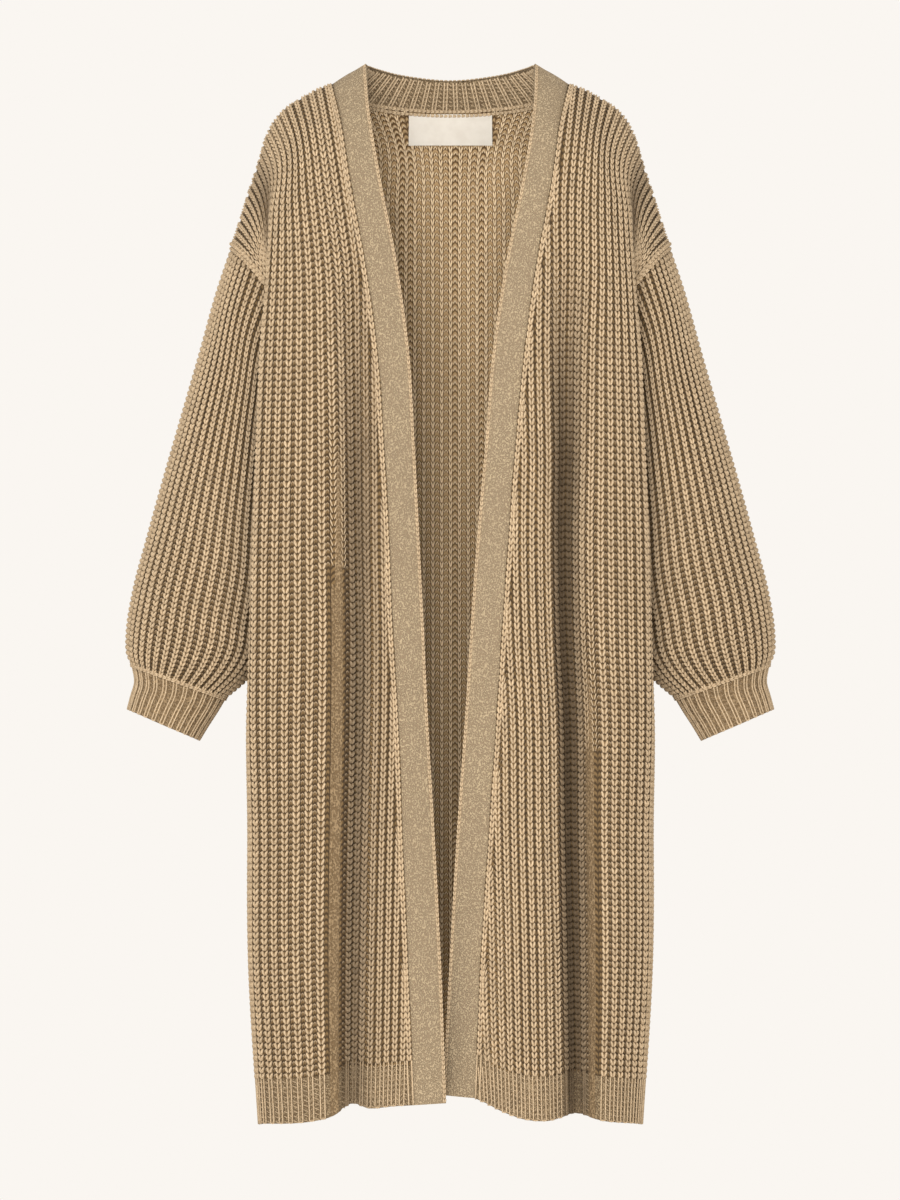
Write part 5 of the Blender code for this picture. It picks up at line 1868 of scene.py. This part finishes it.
@dataclass
class NeckRib:
    """The ribbed band round the back of the neck, ribbed on both faces."""

    finishes: Palette
    rows: int = 9
    per_rib: int = 4
    wall: float = 3.4
    rib_raise: float = 0.6
    course: float = 4.6
    longest: float = 80.0       # past the rib's height
    rib: RibKnit = RibKnit(reach=1.7)
    between_share: float = 1.2      # how far ticks between ribs reach, as a share of rib.reach
    strands_out: float = 0.3
    edge_chain: tuple[float, float] = (0.9, 0.7)    # reach and swell
    ridge_chain: tuple[float, float] = (1.0, 0.85)
    ridge_out: float = 0.4
    ridge_drop: float = 4.5     # between its two chains
    flat: tuple[float, float] = (0.29, 0.046)
    area: float = 0.0115

    def build(self) -> None:
        """Makes the rib, its strands on both faces and the linked ridge under it."""
        surface = neck_surface(self.rows, self.per_rib)
        raised = self.rib_raise * waved(surface.wale)
        thickness = self.wall + raised
        raised[-1] = 0.0
        heights = np.arange(0.0, self.longest, self.course)
        cloth = cloth_wall("neck_rib_cloth", surface, raised, thickness,
                           course_map(surface, heights), [self.finishes.rib_ground] * 2)
        yarn = Yarn(seed=51)
        for face in Face:
            inside = face is Face.INSIDE
            depth = -(self.wall + self.strands_out) if inside else self.strands_out
            grid = Courses.on(surface.points + surface.normals * depth,
                              surface.normals * face.value, heights)
            cells = grid.cells(self.per_rib // 2, self.per_rib, 0, len(heights), False)
            self.rib.strands(yarn, grid, cells)
            between = grid.cells(self.per_rib, self.per_rib, 0, len(heights), False)
            self.rib.ticks(yarn, grid, cells, between, self.rib.reach * self.between_share)
        edge = surface.points[0] - surface.normals[0] * self.wall / 2
        upright = np.tile((0.0, 0.0, 1.0), (len(edge), 1))
        chain_on(yarn, edge, upright, self.course, *self.edge_chain)
        stitches = yarn.made("neck_rib_stitches", self.finishes.stitches)
        ridge = Yarn(seed=52)
        under = surface.points[-1] - surface.normals[-1] * (self.wall + self.ridge_out)
        down = unit(surface.points[-1] - surface.points[-2])
        for drop in (0.0, self.ridge_drop):
            chain_on(ridge, under + down * drop, -surface.normals[-1], self.course,
                     *self.ridge_chain)
        linked = ridge.made("neck_seam_ridge", self.finishes.stitches)
        dressed(cloth, "neck_rib",
                [stitches, linked])


@dataclass
class Sleeve:
    """A full sleeve, set into the low armhole, and its ribbed cuff."""

    side: Side
    finishes: Palette
    gauge: Gauge = field(default_factory=lambda: Gauge(
        rib_courses=0, low_course=5.7, high_course=6.2, even_over=480.0))
    relief: Relief = field(default_factory=lambda: Relief(
        valley=-1.6, v_reach=1.1, v_share=0.11, narrow_share=0.42, arch_gap_shade=0.55))
    row_step: float = 6.0
    # seam_shade is painted shade: the yarn is made darker in the crease under the armhole seam.
    seam_shade: float = 0.8         # the crease under the armhole seam
    seam_reach: float = 9.0
    seam_lifts: tuple[float, float] = (1.6, -3.4)   # of the two chains along that seam
    seam_out: float = 1.8
    seam_chain: tuple[float, float, float] = (5.5, 1.2, 1.0)    # step, reach and swell
    cuff_course: float = 4.8
    cuff_longest: float = 90.0      # past the cuff's height
    cuff_rib: RibKnit = RibKnit(reach=1.7, swell=0.9, tick_swell=0.75, gap_shade=0.75)
    cuff_raise: float = 1.2
    cuff_valley: float = -0.4
    cuff_seam_out: float = 1.2
    cuff_chain: tuple[float, float, float] = (5.0, 1.2, 1.0)
    flat: tuple[float, float] = (0.41, 0.45)
    area: float = 0.175
    cuff_flat: tuple[float, float] = (0.24, 0.05)
    cuff_area: float = 0.0118

    def build(self) -> None:
        """Makes the sleeve, the cuff and their stitches."""
        top, top_normals, seam_turn = sleeve_top()
        even_turn = np.linspace(0.0, 2 * math.pi, 2 * SLEEVE_WALES, endpoint=False)
        evenness = np.minimum(np.arange(len(SLEEVE_LEVELS)) / EVEN_BY_RING, 1.0)
        turns = [seam_turn * (1 - e) + even_turn * e for e in evenness]
        sleeve = arm_surface(SLEEVE_LEVELS, turns, self.row_step, (top, top_normals))
        rib_turn = np.linspace(0.0, 2 * math.pi, 4 * CUFF_RIBS, endpoint=False)
        cuff = arm_surface(CUFF_LEVELS, [rib_turn] * len(CUFF_LEVELS), self.row_step / 2)
        self.sleeve(sleeve.mirrored(self.side))
        self.cuff(cuff.mirrored(self.side))

    def sleeve(self, surface: Surface) -> None:
        """Dresses the sleeve, with a strand along the armhole seam."""
        heights = self.gauge.heights(arc_length(surface.points)[-1].max())
        raised = self.relief.raised(surface.wale)
        raised[0] = raised[-1] = 0.0
        cloth = cloth_wall(f"sleeve_{self.side.word}_cloth", surface, raised,
                           self.relief.wall, course_map(surface, heights),
                           [self.finishes.ground, self.finishes.inside])
        yarn = Yarn(seed=61 + self.side.value)
        from_seam = arc_length(surface.points)
        # Painted shade in the crease along the armhole seam.
        shade = self.seam_shade * np.exp(-(from_seam / self.seam_reach)**2)
        grid = Courses.on(surface.points, surface.normals, heights, shade=shade)
        knit_on(yarn, grid, self.relief, self.gauge, True, PLUMP_LEG)
        loop, facing = surface.top_ring()
        for lift in self.seam_lifts:
            line = loop + facing * self.seam_out + np.array([0.0, 0.0, lift])
            chain_on(yarn, line, facing, *self.seam_chain)
        stitches = yarn.made(f"sleeve_{self.side.word}_stitches", self.finishes.stitches)
        dressed(cloth, f"sleeve_{self.side.word}",
                [stitches])

    def cuff(self, surface: Surface) -> None:
        """Dresses the cuff, with the linked ridge where it joins the sleeve."""
        per_rib = surface.points.shape[1] // CUFF_RIBS
        surface.wale = surface.wale * 2 / per_rib
        heights = np.arange(0.0, self.cuff_longest, self.cuff_course)
        raised = waved(surface.wale) * self.cuff_raise + self.cuff_valley
        cloth = cloth_wall(f"cuff_{self.side.word}_cloth", surface, raised,
                           self.relief.wall, course_map(surface, heights),
                           [self.finishes.felted, self.finishes.inside])
        yarn = Yarn(seed=71 + self.side.value)
        grid = Courses.on(surface.points, surface.normals, heights)
        ribs = grid.cells(per_rib // 2, per_rib, 0, len(heights), True)
        self.cuff_rib.strands(yarn, grid, ribs)
        between = grid.cells(0, per_rib, 0, len(heights), True)
        self.cuff_rib.ticks(yarn, grid, ribs, between, self.cuff_rib.reach)
        self.cuff_rib.turns(yarn, grid, ribs)
        loop, facing = surface.top_ring()
        chain_on(yarn, loop + facing * self.cuff_seam_out, facing, *self.cuff_chain)
        stitches = yarn.made(f"cuff_{self.side.word}_stitches", self.finishes.stitches)
        dressed(cloth, f"cuff_{self.side.word}",
                [stitches])


@dataclass
class Label:
    """A blank woven label, sewn inside the back under the neck seam by its short ends."""

    finishes: Palette
    width: float = 88.0
    top: float = -48.0
    bottom: float = -80.5
    levels: tuple[float, float] = (12.5, 60.0)
    columns: int = 25
    rows: int = 9
    wall: float = 2.6           # of the back panel it lies on
    clearance: float = 1.0
    thickness: float = 0.8
    bow: float = 0.5            # it stands off a little between its sewn ends
    hem_width: float = 4.0
    hem_raise: float = 0.35
    sewn_in: float = 0.025      # how far in from its ends it is sewn, as a share of its half
    sewing: tuple[float, float, float] = (2.6, 0.25, 0.25)      # step, reach and swell
    flat: tuple[float, float] = (0.09, 0.034)
    area: float = 0.0029

    def build(self) -> None:
        """Makes the label with its turned-in ends and their sewing."""
        surface = back_surface(np.linspace(*self.levels, 4 * self.rows))
        inner = surface.points - surface.normals * self.wall
        across = np.linspace(-self.width / 2, self.width / 2, self.columns)
        lines = np.array([resampled(across, line[:, 0], np.hstack([line, -row]))
                          for line, row in zip(inner, surface.normals)])
        down = np.linspace(self.top, self.bottom, self.rows)
        face = np.stack([resampled(-down, -lines[:, k, 2], lines[:, k])
                         for k in range(self.columns)], axis=1)
        points, normals = face[..., :3], unit(face[..., 3:])
        points[..., 2] = down[:, None]
        share = np.linspace(0.0, 1.0, self.columns)
        off = self.clearance + self.thickness + self.bow * np.sin(math.pi * share)
        points = points + normals * off[None, :, None]
        face = Surface(points, normals, np.tile(share, (self.rows, 1)))
        in_hem = np.abs(across) > self.width / 2 - self.hem_width
        turned = np.tile(np.where(in_hem, self.hem_raise, 0.0), (self.rows, 1))
        cloth = cloth_wall("label_cloth", face, turned, self.thickness,
                           np.zeros(turned.shape), [self.finishes.cotton] * 2)
        yarn = Yarn(seed=81)
        for column in (0, -1):
            line = (points[:, column] * (1.0 - self.sewn_in)
                    + points[:, self.columns // 2] * self.sewn_in)
            chain_on(yarn, line, normals[:, column], *self.sewing)
        sewing = yarn.made("label_sewing", self.finishes.thread)
        dressed(cloth, "label", [sewing])


# ------------------------------------------------------------------ studio
@dataclass
class Studio:
    """A pale floor, soft light and the camera of the photograph."""

    finishes: Palette
    camera_at: tuple[float, float, float] = (-0.0005, -30.0, -0.5607)
    frame_height: float = 1.26      # metres across the height of the picture
    frame_y: float = -0.05          # the plane in which that is so
    sees_to: float = 80.0
    sensor: float = 24.0
    floor_z: float = -1.3
    floor_radius: float = 1.6
    floor_sides: int = 96
    air: str = "#FAF6F1"

    def build(self) -> None:
        """Makes the floor, the lights and the camera."""
        scene = bpy.context.scene
        self.floor()
        self.lights(scene)
        camera = bpy.data.cameras.new("studio_camera")
        camera.sensor_fit, camera.sensor_height = "VERTICAL", self.sensor
        camera.lens = self.sensor * (self.frame_y - self.camera_at[1]) / self.frame_height
        camera.clip_end = self.sees_to
        item = bpy.data.objects.new("studio_camera", camera)
        item.location = self.camera_at
        item.rotation_euler = (math.radians(90), 0.0, 0.0)
        scene.collection.objects.link(item)
        scene.camera = item
        scene.view_settings.view_transform = "Standard"

    def floor(self) -> None:
        """A round pale floor a little below the hem."""
        turn = np.linspace(0.0, 2 * math.pi, self.floor_sides, endpoint=False)
        rim = np.column_stack([np.cos(turn), np.sin(turn), np.zeros_like(turn)])
        points = rim * self.floor_radius / MM + (0.0, 0.0, self.floor_z / MM)
        item = mesh_object("studio_floor", points, [np.arange(self.floor_sides)[None]],
                           [self.finishes.floor])

    def lights(self, scene: bpy.types.Scene) -> None:
        """Even light from all round and a large soft lamp in front, above."""
        world = bpy.data.worlds.new("studio_air")
        world.use_nodes = True
        back = world.node_tree.nodes["Background"]
        back.inputs["Color"].default_value = linear(self.air)
        back.inputs["Strength"].default_value = 1.0
        scene.world = world
        self.softbox("key", 110.0, (1.5, 1.5), (-0.9, -4.2, 0.9), (72, 0, -12))
        self.softbox("fill", 75.0, (1.0, 1.8), (0.1, -4.6, -0.7), (91, 0, 1))

    def softbox(self, name: str, power: float, size: tuple[float, float],
                at: tuple[float, float, float], turn: tuple[float, float, float]) -> None:
        """Adds a soft lamp.

        Args:
            name: Its name.
            power: In watts.
            size: Width and height in metres.
            at: Where it stands, in metres.
            turn: Its rotation in degrees.
        """
        lamp = bpy.data.lights.new(name, "AREA")
        lamp.shape, lamp.energy = "RECTANGLE", power
        lamp.size, lamp.size_y = size
        item = bpy.data.objects.new(name, lamp)
        item.location = at
        item.rotation_euler = [math.radians(angle) for angle in turn]
        bpy.context.scene.collection.objects.link(item)


def main() -> None:
    """Dresses every solid of the cardigan and sets the studio round it."""
    logging.basicConfig(level=logging.INFO, format="%(name)s: %(message)s")
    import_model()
    finishes = Palette()
    pieces = [BackPanel(finishes)]
    for side in Side:
        pieces += [FrontPanel(side, finishes), FrontBand(side, finishes), Sleeve(side, finishes)]
    pieces += [NeckRib(finishes), Label(finishes)]
    for piece in pieces:
        piece.build()
    Studio(finishes).build()


if __name__ == "__main__":
    main()
